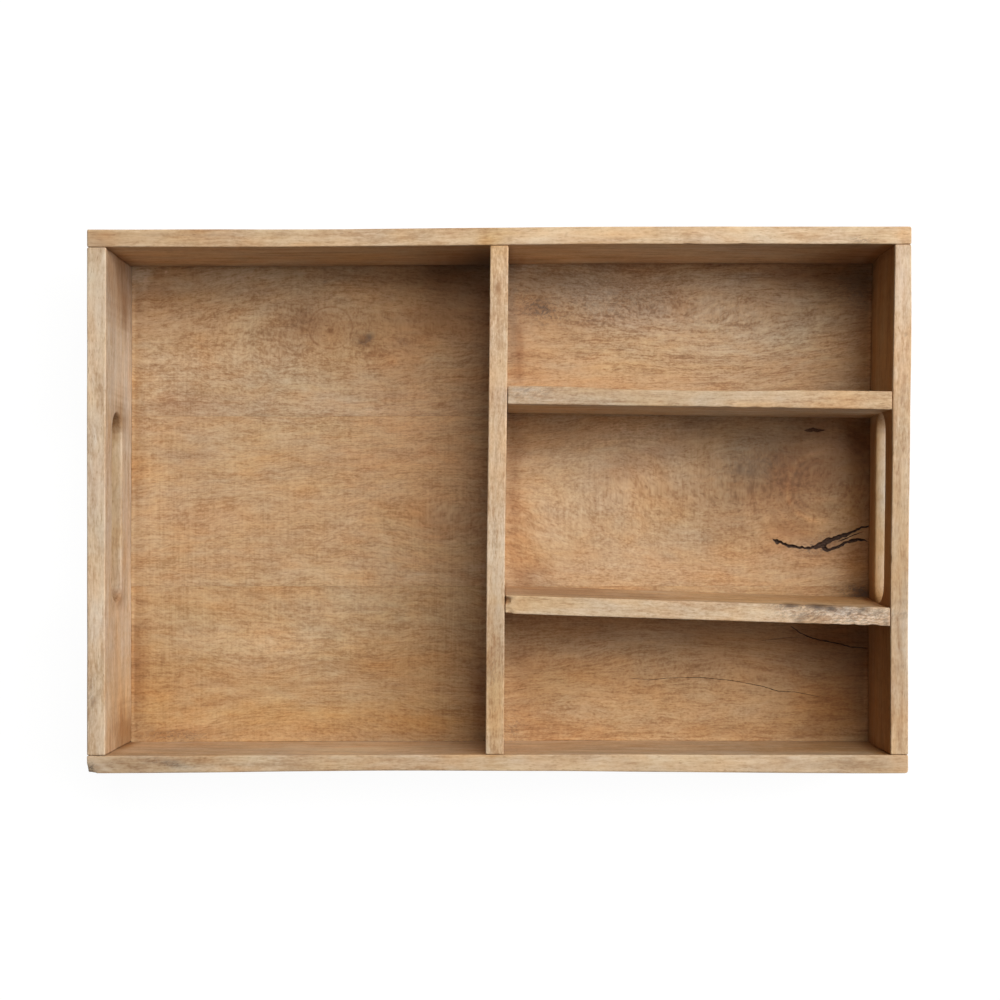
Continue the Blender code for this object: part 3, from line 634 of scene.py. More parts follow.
# How far round the rounding on a slot's edges goes
SLOT_SWEEP = math.radians(82)

# Room round a brad's head in its pit, how deep the pit's lip goes, and how far the lip flares
PIT_ROOM, PIT_LIP, PIT_FLARE = 0.15 * MM, 0.15 * MM, 0.35 * MM

SPECK_COLOUR = (0.095, 0.070, 0.053)

# The stage's floor: half its side, how far it lies under the tray, how white it glows, and how much light it
# takes, which shows the tray's shadow
STAGE_HALF, STAGE_DROP = 4.0, 0.2 * MM
STAGE_GLOW, STAGE_SHADOW = 0.955, 0.09

# The camera's place along X and Y, its lens and sensor in millimetres, and how far its picture is shifted
CAMERA_PLACE = (-0.9 * MM, -27.4 * MM)
CAMERA_LENS, CAMERA_SENSOR = 56.59, 36.0
CAMERA_SHIFT = (0.0022, 0.0444)


# Settings

class TraySizes(bpy.types.PropertyGroup):
    """Sizes of the boards and of the fine shape of their faces"""

    step: FloatProperty(
        name="Mesh step", description="Distance between points of a board's mesh",
        default=1.25 * MM, min=0.5 * MM, unit="LENGTH")
    edge_rounding: FloatProperty(
        name="Edge rounding", description="Radius sanded on the boards' edges",
        default=0.8 * MM, min=0.1 * MM, unit="LENGTH")
    plank_rounding: FloatProperty(
        name="Plank rounding", description="Radius left on the edges of the floor planks",
        default=0.12 * MM, min=0.02 * MM, unit="LENGTH")
    joint_gap: FloatProperty(
        name="Joint gap", description="Gap that shows where two boards meet",
        default=0.08 * MM, min=0, unit="LENGTH")
    seam_gap: FloatProperty(
        name="Seam gap", description="Gap that shows between two floor planks",
        default=0.05 * MM, min=0, unit="LENGTH")
    unevenness: FloatProperty(
        name="Unevenness", description="How far a sanded face falls back from true",
        default=0.15 * MM, min=0, unit="LENGTH")
    centre_turn: FloatProperty(
        name="Centre divider turn", description="How far the centre divider stands out of square",
        default=math.radians(-0.53), unit="ROTATION")
    rear_turn: FloatProperty(
        name="Rear divider turn", description="How far the rear cross divider stands out of square",
        default=math.radians(-0.83), unit="ROTATION")
    front_turn: FloatProperty(
        name="Front divider turn", description="How far the front cross divider stands out of square",
        default=math.radians(-1.86), unit="ROTATION")
    front_lean: FloatProperty(
        name="Front divider lean", description="How far the front cross divider leans forward",
        default=math.radians(3.6), unit="ROTATION")
    divider: FloatProperty(
        name="Divider thickness", description="Thickness of the three dividers",
        default=11.5 * MM, min=5 * MM, unit="LENGTH")
    slot_length: FloatProperty(
        name="Slot length", description="Length of a hand slot", default=120 * MM, unit="LENGTH")
    slot_height: FloatProperty(
        name="Slot height", description="Height of a hand slot", default=25.4 * MM, unit="LENGTH")
    slot_below_rim: FloatProperty(
        name="Slot below rim", description="Wood left above a hand slot", default=17.5 * MM, unit="LENGTH")
    slot_offset: FloatProperty(
        name="Slot offset", description="How far a slot's middle lies to the back",
        default=-4 * MM, unit="LENGTH")
    slot_rounding: FloatProperty(
        name="Slot rounding", description="Radius routed on a slot's edges", default=1.6 * MM, unit="LENGTH")


class TrayBrads(bpy.types.PropertyGroup):
    """Sizes of the finishing brads"""

    length: FloatProperty(
        name="Length", description="Length from head to point", default=30 * MM, unit="LENGTH")
    shank: FloatProperty(
        name="Shank", description="Diameter of the shank", default=1.6 * MM, unit="LENGTH")
    head: FloatProperty(
        name="Head", description="Diameter of the head", default=2.4 * MM, unit="LENGTH")
    head_height: FloatProperty(
        name="Head height", description="Thickness of the head", default=0.6 * MM, unit="LENGTH")
    point: FloatProperty(
        name="Point", description="Length of the point", default=2.2 * MM, unit="LENGTH")
    depth: FloatProperty(
        name="Set", description="How far the head lies under the face", default=0.3 * MM, unit="LENGTH")
    sides: IntProperty(
        name="Sides", description="Number of sides of a brad", default=16, min=8)


class TrayColours(bpy.types.PropertyGroup):
    """Colours of the woods and the steel"""

    outer: FloatVectorProperty(
        name="Outer boards", description="Middle tone of the outer boards",
        default=(0.62, 0.43, 0.27), subtype="COLOR", size=3)
    divider: FloatVectorProperty(
        name="Dividers", description="Middle tone of the dividers",
        default=(0.60, 0.42, 0.27), subtype="COLOR", size=3)
    floor: FloatVectorProperty(
        name="Floor", description="Middle tone of the floor planks",
        default=(0.50, 0.315, 0.168), subtype="COLOR", size=3)
    bark: FloatVectorProperty(
        name="Bark", description="Colour inside the cracks",
        default=(0.050, 0.029, 0.021), subtype="COLOR", size=3)
    knot: FloatVectorProperty(
        name="Knot", description="Colour inside the small knots",
        default=(0.10, 0.052, 0.030), subtype="COLOR", size=3)
    steel: FloatVectorProperty(
        name="Brads", description="Colour of the brads' steel",
        default=(0.42, 0.40, 0.38), subtype="COLOR", size=3)
    stage: FloatVectorProperty(
        name="Stage", description="Colour of the floor under the tray",
        default=(0.82, 0.82, 0.82), subtype="COLOR", size=3)


class TrayStudio(bpy.types.PropertyGroup):
    """Lights and camera"""

    level: FloatProperty(
        name="Light level", description="How bright a white sheet on the tray renders", default=1.0, min=0)
    distance: FloatProperty(
        name="Light distance", description="Distance of the lamps from the tray", default=4.0, unit="LENGTH")
    camera_height: FloatProperty(
        name="Camera height", description="Height of the lens above the table", default=1.0436, unit="LENGTH")


# Plan geometry: a line is a point and a unit direction

def plan_line(x, y, turn):
    return np.array((x, y)), np.array((math.cos(turn), math.sin(turn)))


def beside(line, distance):
    """The line moved sideways, to the left of its own direction."""
    point, along = line
    return point + distance * np.array((-along[1], along[0])), along


def meet(first, second):
    (start, along), (other, across) = first, second
    turn = along[0] * across[1] - along[1] * across[0]
    gap = other - start
    return start + along * ((gap[0] * across[1] - gap[1] * across[0]) / turn)


def spread(low, high, count):
    return [low + (high - low) * (step + 0.5) / count for step in range(count)]


# Smooth chance

def ease(values, low, high):
    """0 at low, 1 at high, and smooth between them."""
    part = np.clip((values - low) / (high - low), 0, 1)
    return part * part * (3 - 2 * part)


def cell_value(column, row, seed):
    """A fixed number from -1 to 1 for a cell of a plane."""
    mask = np.uint64(0xFFFFFFFF)
    mixed = (column.astype(np.int64).astype(np.uint64) * np.uint64(374761393)
             + row.astype(np.int64).astype(np.uint64) * np.uint64(668265263)
             + np.uint64(seed * 1442695041)) & mask
    mixed = ((mixed ^ (mixed >> np.uint64(13))) * np.uint64(1274126177)) & mask
    mixed = mixed ^ (mixed >> np.uint64(16))
    return mixed.astype(float) / 2147483647.5 - 1


def ripple(x, y, seed):
    """Seeded smooth noise from -1 to 1 over a plane, one swell to a unit."""
    column, row = np.floor(x), np.floor(y)
    across, up = x - column, y - row
    across, up = across * across * (3 - 2 * across), up * up * (3 - 2 * up)
    low = cell_value(column, row, seed) * (1 - across) + cell_value(column + 1, row, seed) * across
    high = cell_value(column, row + 1, seed) * (1 - across) + cell_value(column + 1, row + 1, seed) * across
    return low * (1 - up) + high * up


# Shells of boards

def stops(low, high, step, rounding):
    """Places from low to high, an even step apart, and close together where an edge is rounded."""
    edge = rounding * np.array((0, 0.12, 0.35, 0.65, 1.0))
    count = max(int(round((high - low - 2 * rounding) / step)), 2)
    return np.concatenate((low + edge[:-1], np.linspace(low + rounding, high - rounding, count + 1),
                           high - edge[-2::-1]))


def shell(xs, ys, zs):
    """Points and outward faces of a closed box that has a grid line at each of these places."""
    counts = (len(xs), len(ys), len(zs))
    lattice = np.stack(np.meshgrid(xs, ys, zs, indexing="ij"), axis=-1)
    on_face = np.zeros(counts, bool)
    for axis in range(3):
        ends = np.moveaxis(on_face, axis, 0)
        ends[0] = ends[-1] = True
    number = np.full(counts, -1)
    number[on_face] = np.arange(on_face.sum())
    faces = []
    for axis in range(3):
        for end in (0, -1):
            sheet = number.take(end, axis=axis)
            quads = np.stack((sheet[:-1, :-1], sheet[1:, :-1], sheet[1:, 1:], sheet[:-1, 1:]), axis=-1)
            quads = quads.reshape(-1, 4)
            outward = (end == -1) != (axis == 1)
            faces.append(quads if outward else quads[:, ::-1])
    return lattice[on_face], np.concatenate(faces)


def rounded_box(low, high, step, rounding, seed, unevenness=0.0):
    """A closed box with rounded edges whose radius wanders, and faces that fall back a little."""
    low, high = np.array(low), np.array(high)
    widest = 1.45 * rounding
    points, faces = shell(*[stops(a, b, step, widest) for a, b in zip(low, high)])
    swell = 30 * MM
    wander = ripple(points[:, 0] / swell + points[:, 2] / swell, points[:, 1] / swell, seed)
    radius = (rounding * (1 + 0.4 * wander))[:, None]
    core = np.clip(points, low + radius, high - radius)
    away = points - core
    reach = np.linalg.norm(away, axis=1)[:, None]
    points = core + away / np.maximum(reach, 1e-9) * radius
    if unevenness:
        middle, half = (low + high) / 2, (high - low) / 2
        for axis in range(3):
            first, second = [points[:, other] for other in range(3) if other != axis]
            drop = 0.5 + 0.5 * ripple(first / (45 * MM), second / (9 * MM), seed + axis + 1)
            points[:, axis] -= (points[:, axis] - middle[axis]) / half[axis] * drop * unevenness
    return points, faces


def wear(points, name):
    """Presses the nicks of this piece into its arrises, and hollows its faces."""
    for piece, x, y, reach, push in NICKS:
        if piece != name:
            continue
        offset = points - np.array((x * MM, y * MM, HEIGHT))
        fray = ripple(points[:, 0] / (1.5 * MM), points[:, 1] / (1.5 * MM), SEEDS["nicks"])
        distance = np.linalg.norm(offset, axis=1) / (reach * MM) * (1 + 0.35 * fray)
        points = points + np.exp(-1.5 * distance ** 2)[:, None] * np.array(push) * MM
    for piece, x, y, reach, depth in HOLLOWS:
        if piece == name:
            beyond = ease(points[:, 1] * np.sign(-depth), y * MM - 3 * MM, y * MM)
            points[:, 1] += depth * MM * beyond * np.exp(-((points[:, 0] - x * MM) / (reach * MM)) ** 4)
    return points


def round_corners(points):
    """Rounds the tray's four upright corners, each by its own radius."""
    for (side, end), millimetres in CORNER_RADII.items():
        radius = millimetres * MM
        offset_x = side * points[:, 0] - (HALF_LENGTH - radius)
        offset_y = end * points[:, 1] - (HALF_WIDTH - radius)
        distance = np.hypot(offset_x, offset_y)
        share = radius / np.maximum(distance, 1e-9)
        share = np.where((offset_x > 0) & (offset_y > 0) & (distance > radius), share, 1)
        points[:, 0] += side * offset_x * (share - 1)
        points[:, 1] += end * offset_y * (share - 1)
    return points


def settle(points):
    """Draws the long boards in where they have bowed, and the right end in at the front."""
    points = round_corners(points.copy())
    x, y, z = points.T
    moved = points.copy()
    # What lies between the end boards takes part in full, their outer faces not at all
    within = MM * (1 - ease(np.abs(x), INNER_X, INNER_X + 0.6 * WALL))
    low = 1 - np.clip(z / (36 * MM), 0, 1)
    left_end, right_end = 1 - ease(x, -INNER_X, -160 * MM), ease(x, 0.9 * INNER_X, INNER_X)
    # The right end's inner face spreads at its foot, bulges at half height, is drawn in beside the rear
    # cross divider and falls back in the rear corner
    moved[:, 0] += 2.9 * within * low * ease(x, 120 * MM, INNER_X)
    bulge = np.exp(-((z - 45 * MM) / (17 * MM)) ** 2)
    moved[:, 0] -= 0.65 * within * bulge * ease(x, 0.7 * INNER_X, INNER_X)
    beside_divider = np.exp(-((y - 62 * MM) / (36 * MM)) ** 2)
    moved[:, 0] -= (0.25 * MM + 0.3 * within) * beside_divider * right_end
    moved[:, 0] += 0.6 * within * ease(y, 105 * MM, INNER_Y) * right_end
    # The left end's inner face stands further in, most at its foot and towards the back
    moved[:, 0] += (0.6 + 0.4 * low) * within * left_end
    moved[:, 0] -= (0.25 - 0.45 * ease(y, -30 * MM, 100 * MM)) * within * left_end
    # The centre divider bows to the left, and the right half is drawn in towards the front
    moved[:, 0] -= 0.5 * MM * np.exp(-(x / (16 * MM)) ** 2 - ((y + 35 * MM) / (70 * MM)) ** 2)
    moved[:, 0] -= 2.1 * MM * ease(x, 20 * MM, INNER_X) * (1 - ease(y, -80 * MM, 110 * MM))
    # The front board's inner face stands further in on the right, and the back board on the left
    front, front_wall = ease(-y, 80 * MM, INNER_Y), ease(-y, INNER_Y, HALF_WIDTH)
    moved[:, 1] += 0.5 * MM * front * (1 - front_wall) * ease(x, 0, 60 * MM)
    moved[:, 1] -= 1.8 * MM * (1 - ease(x, -150 * MM, 100 * MM)) * ease(y, 80 * MM, INNER_Y)
    # The front board bows in, most a little left of its middle
    bow = np.where(x < -50 * MM, ease(x, -HALF_LENGTH, -50 * MM), 1 - ease(x, -50 * MM, HALF_LENGTH))
    moved[:, 1] += MM * bow * (0.6 * front + 1.1 * front_wall)
    return moved


def mesh_from(name, points, faces):
    mesh = bpy.data.meshes.new(name)
    mesh.from_pydata(points.tolist(), [], faces.tolist())
    mesh.validate()
    return mesh


def points_of(mesh):
    flat = np.empty(len(mesh.vertices) * 3)
    mesh.vertices.foreach_get("co", flat)
    return flat.reshape(-1, 3)


def link(name, mesh):
    piece = bpy.data.objects.new(name, mesh)
    bpy.context.scene.collection.objects.link(piece)
    return piece


def loft(bm, loops):
    """Closes a body over a row of loops that hold as many points each."""
    rings = [[bm.verts.new(point) for point in loop] for loop in loops]
    for low, high in zip(rings, rings[1:]):
        for index, vert in enumerate(low):
            after = (index + 1) % len(low)
            bm.faces.new((vert, low[after], high[after], high[index]))
    bm.faces.new(reversed(rings[0]))
    bm.faces.new(rings[-1])


def cut_mesh(name, mesh, cutters):
    """The mesh less its cutters, whose faces keep the cutters' own materials."""
    if not cutters:
        return mesh
    piece = link(name + "_blank", mesh)
    for cutter in cutters:
        modifier = piece.modifiers.new(cutter.name, "BOOLEAN")
        modifier.operation = "DIFFERENCE"
        modifier.solver = "EXACT"
        modifier.material_mode = "TRANSFER"
        modifier.object = cutter
    graph = bpy.context.evaluated_depsgraph_get()
    done = bpy.data.meshes.new_from_object(piece.evaluated_get(graph))
    for thing in (piece, *cutters):
        bpy.data.objects.remove(thing)
    return done


# Grain

def oval_mask(points, x, y, reach_x, reach_y, turn, seed):
    """How strongly an oval patch, such as a stain or a patch of painted shade or light, shows at each point,
    frayed along the grain.
    """
    offset_x, offset_y = points[:, 0] - x * MM, points[:, 1] - y * MM
    cos, sin = math.cos(math.radians(turn)), math.sin(math.radians(turn))
    along = (offset_x * cos + offset_y * sin) / (reach_x * MM)
    across = (offset_y * cos - offset_x * sin) / (reach_y * MM)
    fray = ripple(points[:, 0] / (14 * MM), points[:, 1] / (2.5 * MM), seed)
    fray += 0.6 * ripple(points[:, 0] / (5 * MM), points[:, 1] / (1.3 * MM), seed + 50)
    distance = np.sqrt(along * along + across * across) * (1 + 0.28 * fray)
    return np.exp(-1.1 * distance ** 2.4)


def tint(colour, mask, name, strength):
    for channel, factor in enumerate(TINTS[name]):
        colour[:, channel] *= 1 + strength * mask * (factor - 1)


def patches(points, table, seed):
    """How strongly a table of patches shows at each point."""
    total = np.zeros(len(points))
    for number, (x, y, reach_x, reach_y, turn, strength) in enumerate(table):
        mask = oval_mask(points, x, y, reach_x, reach_y, turn, seed + number)
        total = np.maximum(total, strength * mask)
    return total


def wood_marks(points, kind):
    """How densely specks lie, how lively the figure is and how deep the saw marks are at each point."""
    if kind == "floor":
        specks = patches(points, FLOOR_SPECKS, SEEDS["specks"])
        lively = 1 + patches(points, FLOOR_LIVELY, SEEDS["lively"])
        saw_marks = 0.35 + patches(points, FLOOR_SAW_MARKS, SEEDS["saw_marks"])
    else:
        top = ease(points[:, 2], HEIGHT - 10 * MM, HEIGHT - 1 * MM)
        specks = patches(points, RIM_SPECKS, SEEDS["specks"]) * top
        lively = 1.12 + patches(points, RIM_LIVELY, SEEDS["lively"]) * top
        saw_marks = np.full(len(points), 0.5)
    return np.stack((specks, lively, saw_marks), axis=1)


def knot_rings(points, kind):
    """How far each point lies from its great knot, and how clearly the rings of either show there."""
    x, y = points[:, 0], points[:, 1]
    place, shown = np.ones(len(points)), [np.zeros(len(points)), np.zeros(len(points))]
    if kind == "floor":
        seed = SEEDS["knot_rings"]
        wander = 1 + 0.03 * ripple(x / (13 * MM), y / (13 * MM), seed)
        fade = 0.75 + 0.4 * ripple(x / (5 * MM), y / (4 * MM), seed + 1)
        fray = 0.3 * MM * ripple(x / (4 * MM), y / (4 * MM), seed + 2)
        for number, (knot_x, knot_y, reach, start, end, closed) in enumerate(KNOT_RINGS):
            offset_x, offset_y = x - knot_x * MM, y - knot_y * MM
            radius = np.hypot(offset_x, offset_y) * wander + fray
            turn = (np.degrees(np.arctan2(offset_y, offset_x)) - start) % 360
            window = ease(turn, 0, 40) * (1 - ease(turn, end - start - 40, end - start))
            window = np.maximum(window, 1 - ease(radius, closed * MM, (closed + 1.5) * MM))
            near = np.exp(-0.7 * (radius / (reach * MM)) ** 8)
            shown[number] = window * near * fade
            place = np.where(radius < 1.3 * reach * MM, radius / (RING_SPAN * MM), place)
    return np.stack((place, *shown), axis=1)


def stain_shade_and_light_colour(points, kind, tone):
    """What the stains, painted shade and painted light multiply the wood's colour by at each point."""
    colour = np.ones((len(points), 3)) * np.array(tone)
    table = FLOOR_STAINS_AND_SHADE if kind == "floor" else RIM_STAINS
    for number, (name, x, y, reach_x, reach_y, turn, strength) in enumerate(table):
        mask = oval_mask(points, x, y, reach_x, reach_y, turn, SEEDS["stains_and_shade"] + number)
        if kind != "floor":
            mask *= ease(points[:, 2], HEIGHT - 18 * MM, HEIGHT - 2 * MM)
        tint(colour, mask, name, strength)
    if kind != "floor":
        inside = 1 - ease(np.abs(points[:, 1]), INNER_Y + 2 * MM, HALF_WIDTH - 3 * MM)
        for number, (name, x, y, z, reach_x, reach_y, reach_z, strength) in enumerate(SIDE_STAINS_SHADE_AND_LIGHT):
            mask = inside * oval_mask(points, x, y, reach_x, reach_y, 0, SEEDS["side_stains_shade_and_light"] + number)
            mask *= 1 - ease(points[:, 2], HEIGHT - 2 * MM, HEIGHT - 0.5 * MM)
            tint(colour, mask * np.exp(-((points[:, 2] - z * MM) / (reach_z * MM)) ** 2), name, strength)
    return colour


def floor_grain(points):
    """Where each floor point lies along, across and through the fibres, its ring height and its swirl."""
    x, y = points[:, 0], points[:, 1]
    seed = SEEDS["floor_grain"]
    wobble = ripple(x / (9 * MM), y / (6 * MM), seed + 2)
    across = y + 7 * MM * ripple(x / (130 * MM), y / (50 * MM), seed) + 2 * MM * ripple(
        x / (40 * MM), y / (18 * MM), seed + 1) + 0.7 * MM * wobble
    for knot_x, knot_y, reach_x, reach_y, bulge in FLOOR_KNOTS:
        offset_x, offset_y = (x - knot_x * MM) / (reach_x * MM), (y - knot_y * MM) / (reach_y * MM)
        across -= bulge * (y - knot_y * MM) * np.exp(-0.5 * (offset_x ** 2 + offset_y ** 2))
    rings = across.copy()
    swirl = np.zeros(len(points))
    for knot_x, knot_y, reach_x, reach_y, strength, free in FLOOR_SWIRLS:
        offset_x, offset_y = x - knot_x * MM, y - knot_y * MM
        distance = np.hypot(offset_x / (reach_x * MM), offset_y / (reach_y * MM)) * (1 + 0.08 * wobble)
        share = np.exp(-0.7 * distance ** 5)
        if free:
            share *= 1 - np.exp(-(distance / free) ** 2)
        radius = np.hypot(offset_x * (reach_y / reach_x) ** 0.5, offset_y)
        lean = 0.16 * reach_y * MM * ripple(x / (reach_y * 0.4 * MM), y / (reach_y * 0.4 * MM), seed + 3)
        rings = rings * (1 - share) + (radius + lean + 0.4 * MM * wobble) * share
        swirl = np.maximum(swirl, strength * share)
    return np.stack((x, across, points[:, 2]), axis=1), rings, swirl


def board_grain(seed, run, width):
    """Grain of a board whose fibres run along one axis and whose broad faces span another."""
    depth = 3 - run - width

    def lay(points):
        along, across, through = points[:, run], points[:, width], points[:, depth]
        drift = 4 * MM * ripple(along / (120 * MM), across / (60 * MM), seed)
        drift += 1.2 * MM * ripple(along / (30 * MM), across / (14 * MM), seed + 1)
        drift += 0.4 * MM * ripple(along / (8 * MM), across / (5 * MM), seed + 2)
        grain = np.stack((along, across + drift, through + 0.4 * drift), axis=1)
        return grain, across + 0.7 * through + 2 * drift, np.zeros(len(points))

    return lay


def divider_grain(seed, run, slope, drop):
    """Grain of a divider that runs a little askew and may lean."""
    lay = board_grain(seed, run, 2)

    def lay_square(points):
        square = points.copy()
        square[:, 1 - run] -= slope * points[:, run] - drop * (points[:, 2] - HEIGHT)
        return lay(square)

    return lay_square


def put_attribute(mesh, name, kind, values):
    attribute = mesh.attributes.new(name, kind, "POINT")
    attribute.data.foreach_set("value" if kind == "FLOAT" else "vector", np.ascontiguousarray(values).ravel())


def dress(mesh, name, lay, kind):
    """Writes the grain, rings, stains with their painted shade and light, and marks of every point, before
    the mesh settles.
    """
    points = points_of(mesh)
    seed = SEEDS[name]
    grain, rings, swirl = lay(points)
    offset = np.array((seed * 0.37, seed * 0.53, seed * 0.71))
    put_attribute(mesh, "grain", "FLOAT_VECTOR", grain + offset)
    put_attribute(mesh, "rings", "FLOAT", rings + seed * 0.31)
    calm = patches(points, FLOOR_CALM, seed) if kind == "floor" else 0 * swirl
    straight = np.maximum(1 - 0.7 * swirl - calm, 0.15)
    put_attribute(mesh, "swirl", "FLOAT_VECTOR", np.stack((swirl, straight, 1 + calm), axis=1))
    put_attribute(mesh, "stain_shade_and_light", "FLOAT_VECTOR", stain_shade_and_light_colour(points, kind, BOARD_TONES[name]))
    put_attribute(mesh, "marks", "FLOAT_VECTOR", wood_marks(points, kind))
    put_attribute(mesh, "knot_rings", "FLOAT_VECTOR", knot_rings(points, kind))


def complete(name, mesh, material, nodes, sharp=40):
    """Settles the mesh, shades it and hands it to the frame as one piece."""
    settled = settle(points_of(mesh))
    mesh.vertices.foreach_set("co", settled.ravel())
    mesh.update()
    if len(mesh.materials) == 0:
        mesh.materials.append(material)
    else:
        mesh.materials[0] = material
    mesh.shade_smooth()
    mesh.set_sharp_from_angle(angle=math.radians(sharp))
    piece = link(name, mesh)
    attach(piece, "root")
    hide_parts(*nodes)
    return piece


# Materials

def feed(tree, slot, source):
    """Links a socket to this input, or sets the input to a value."""
    if isinstance(source, bpy.types.NodeSocket):
        tree.links.new(source, slot)
    else:
        slot.default_value = source


def add_node(tree, kind, inputs=None, **settings):
    """Adds a node with these settings, and feeds the named inputs."""
    made = tree.nodes.new(kind)
    for name, value in settings.items():
        setattr(made, name, value)
    for name, source in (inputs or {}).items():
        feed(tree, made.inputs[name], source)
    return made


def maths(tree, operation, *sources, kind="ShaderNodeMath"):
    made = add_node(tree, kind, operation=operation)
    for slot, source in zip(made.inputs, sources):
        feed(tree, slot, source)
    return made.outputs[0]


def vector_maths(tree, operation, *sources):
    return maths(tree, operation, *sources, kind="ShaderNodeVectorMath")


def carried(tree, name, output="Vector"):
    """What the mesh's points carry under this name."""
    return add_node(tree, "ShaderNodeAttribute", attribute_name=name).outputs[output]


def noise(tree, vector, scale, detail=2.0, roughness=0.5, distortion=0.0):
    """Noise about a half, stretched by the three scales."""
    placed = vector_maths(tree, "MULTIPLY", vector, scale)
    return add_node(tree, "ShaderNodeTexNoise", {
        "Vector": placed, "Scale": 1.0, "Detail": detail, "Roughness": roughness,
        "Distortion": distortion}).outputs["Fac"]


def ramp(tree, factor, marks, smooth=True):
    made = add_node(tree, "ShaderNodeValToRGB", {"Fac": factor})
    made.color_ramp.interpolation = "EASE" if smooth else "LINEAR"
    elements = made.color_ramp.elements
    while len(elements) < len(marks):
        elements.new(0.5)
    for element, (place, colour) in zip(elements, marks):
        element.position = place
        element.color = (*colour, 1)
    return made.outputs["Color"]


# How strongly each kind of figure shows in the wood of the floor, the outer boards and the dividers
FLOOR_FIGURE = {
    "cloud": 0.34, "body": 0.40, "streak": 0.32, "hair": 0.34, "stipple": 0.36, "fibre": 0.40, "rings": 0.28,
    "saw": 0.23,
}
BOARD_FIGURE = {
    "cloud": 0.34, "body": 0.26, "streak": 0.50, "hair": 0.20, "stipple": 0.14, "fibre": 0.22, "rings": 0.38,
    "saw": 0.06,
}
DIVIDER_FIGURE = {
    "cloud": 0.34, "body": 0.30, "streak": 0.50, "hair": 0.26, "stipple": 0.28, "fibre": 0.26, "rings": 0.40,
    "saw": 0.08,
}


def toned(tone, factors):
    return tuple(channel * factor for channel, factor in zip(tone, factors))


def scaled(tone, factor):
    return tuple(channel * factor for channel in tone)


def new_finish(name):
    """A new material with its tree and shader."""
    material = bpy.data.materials.new(name)
    material.use_nodes = True
    return material, material.node_tree, material.node_tree.nodes["Principled BSDF"]


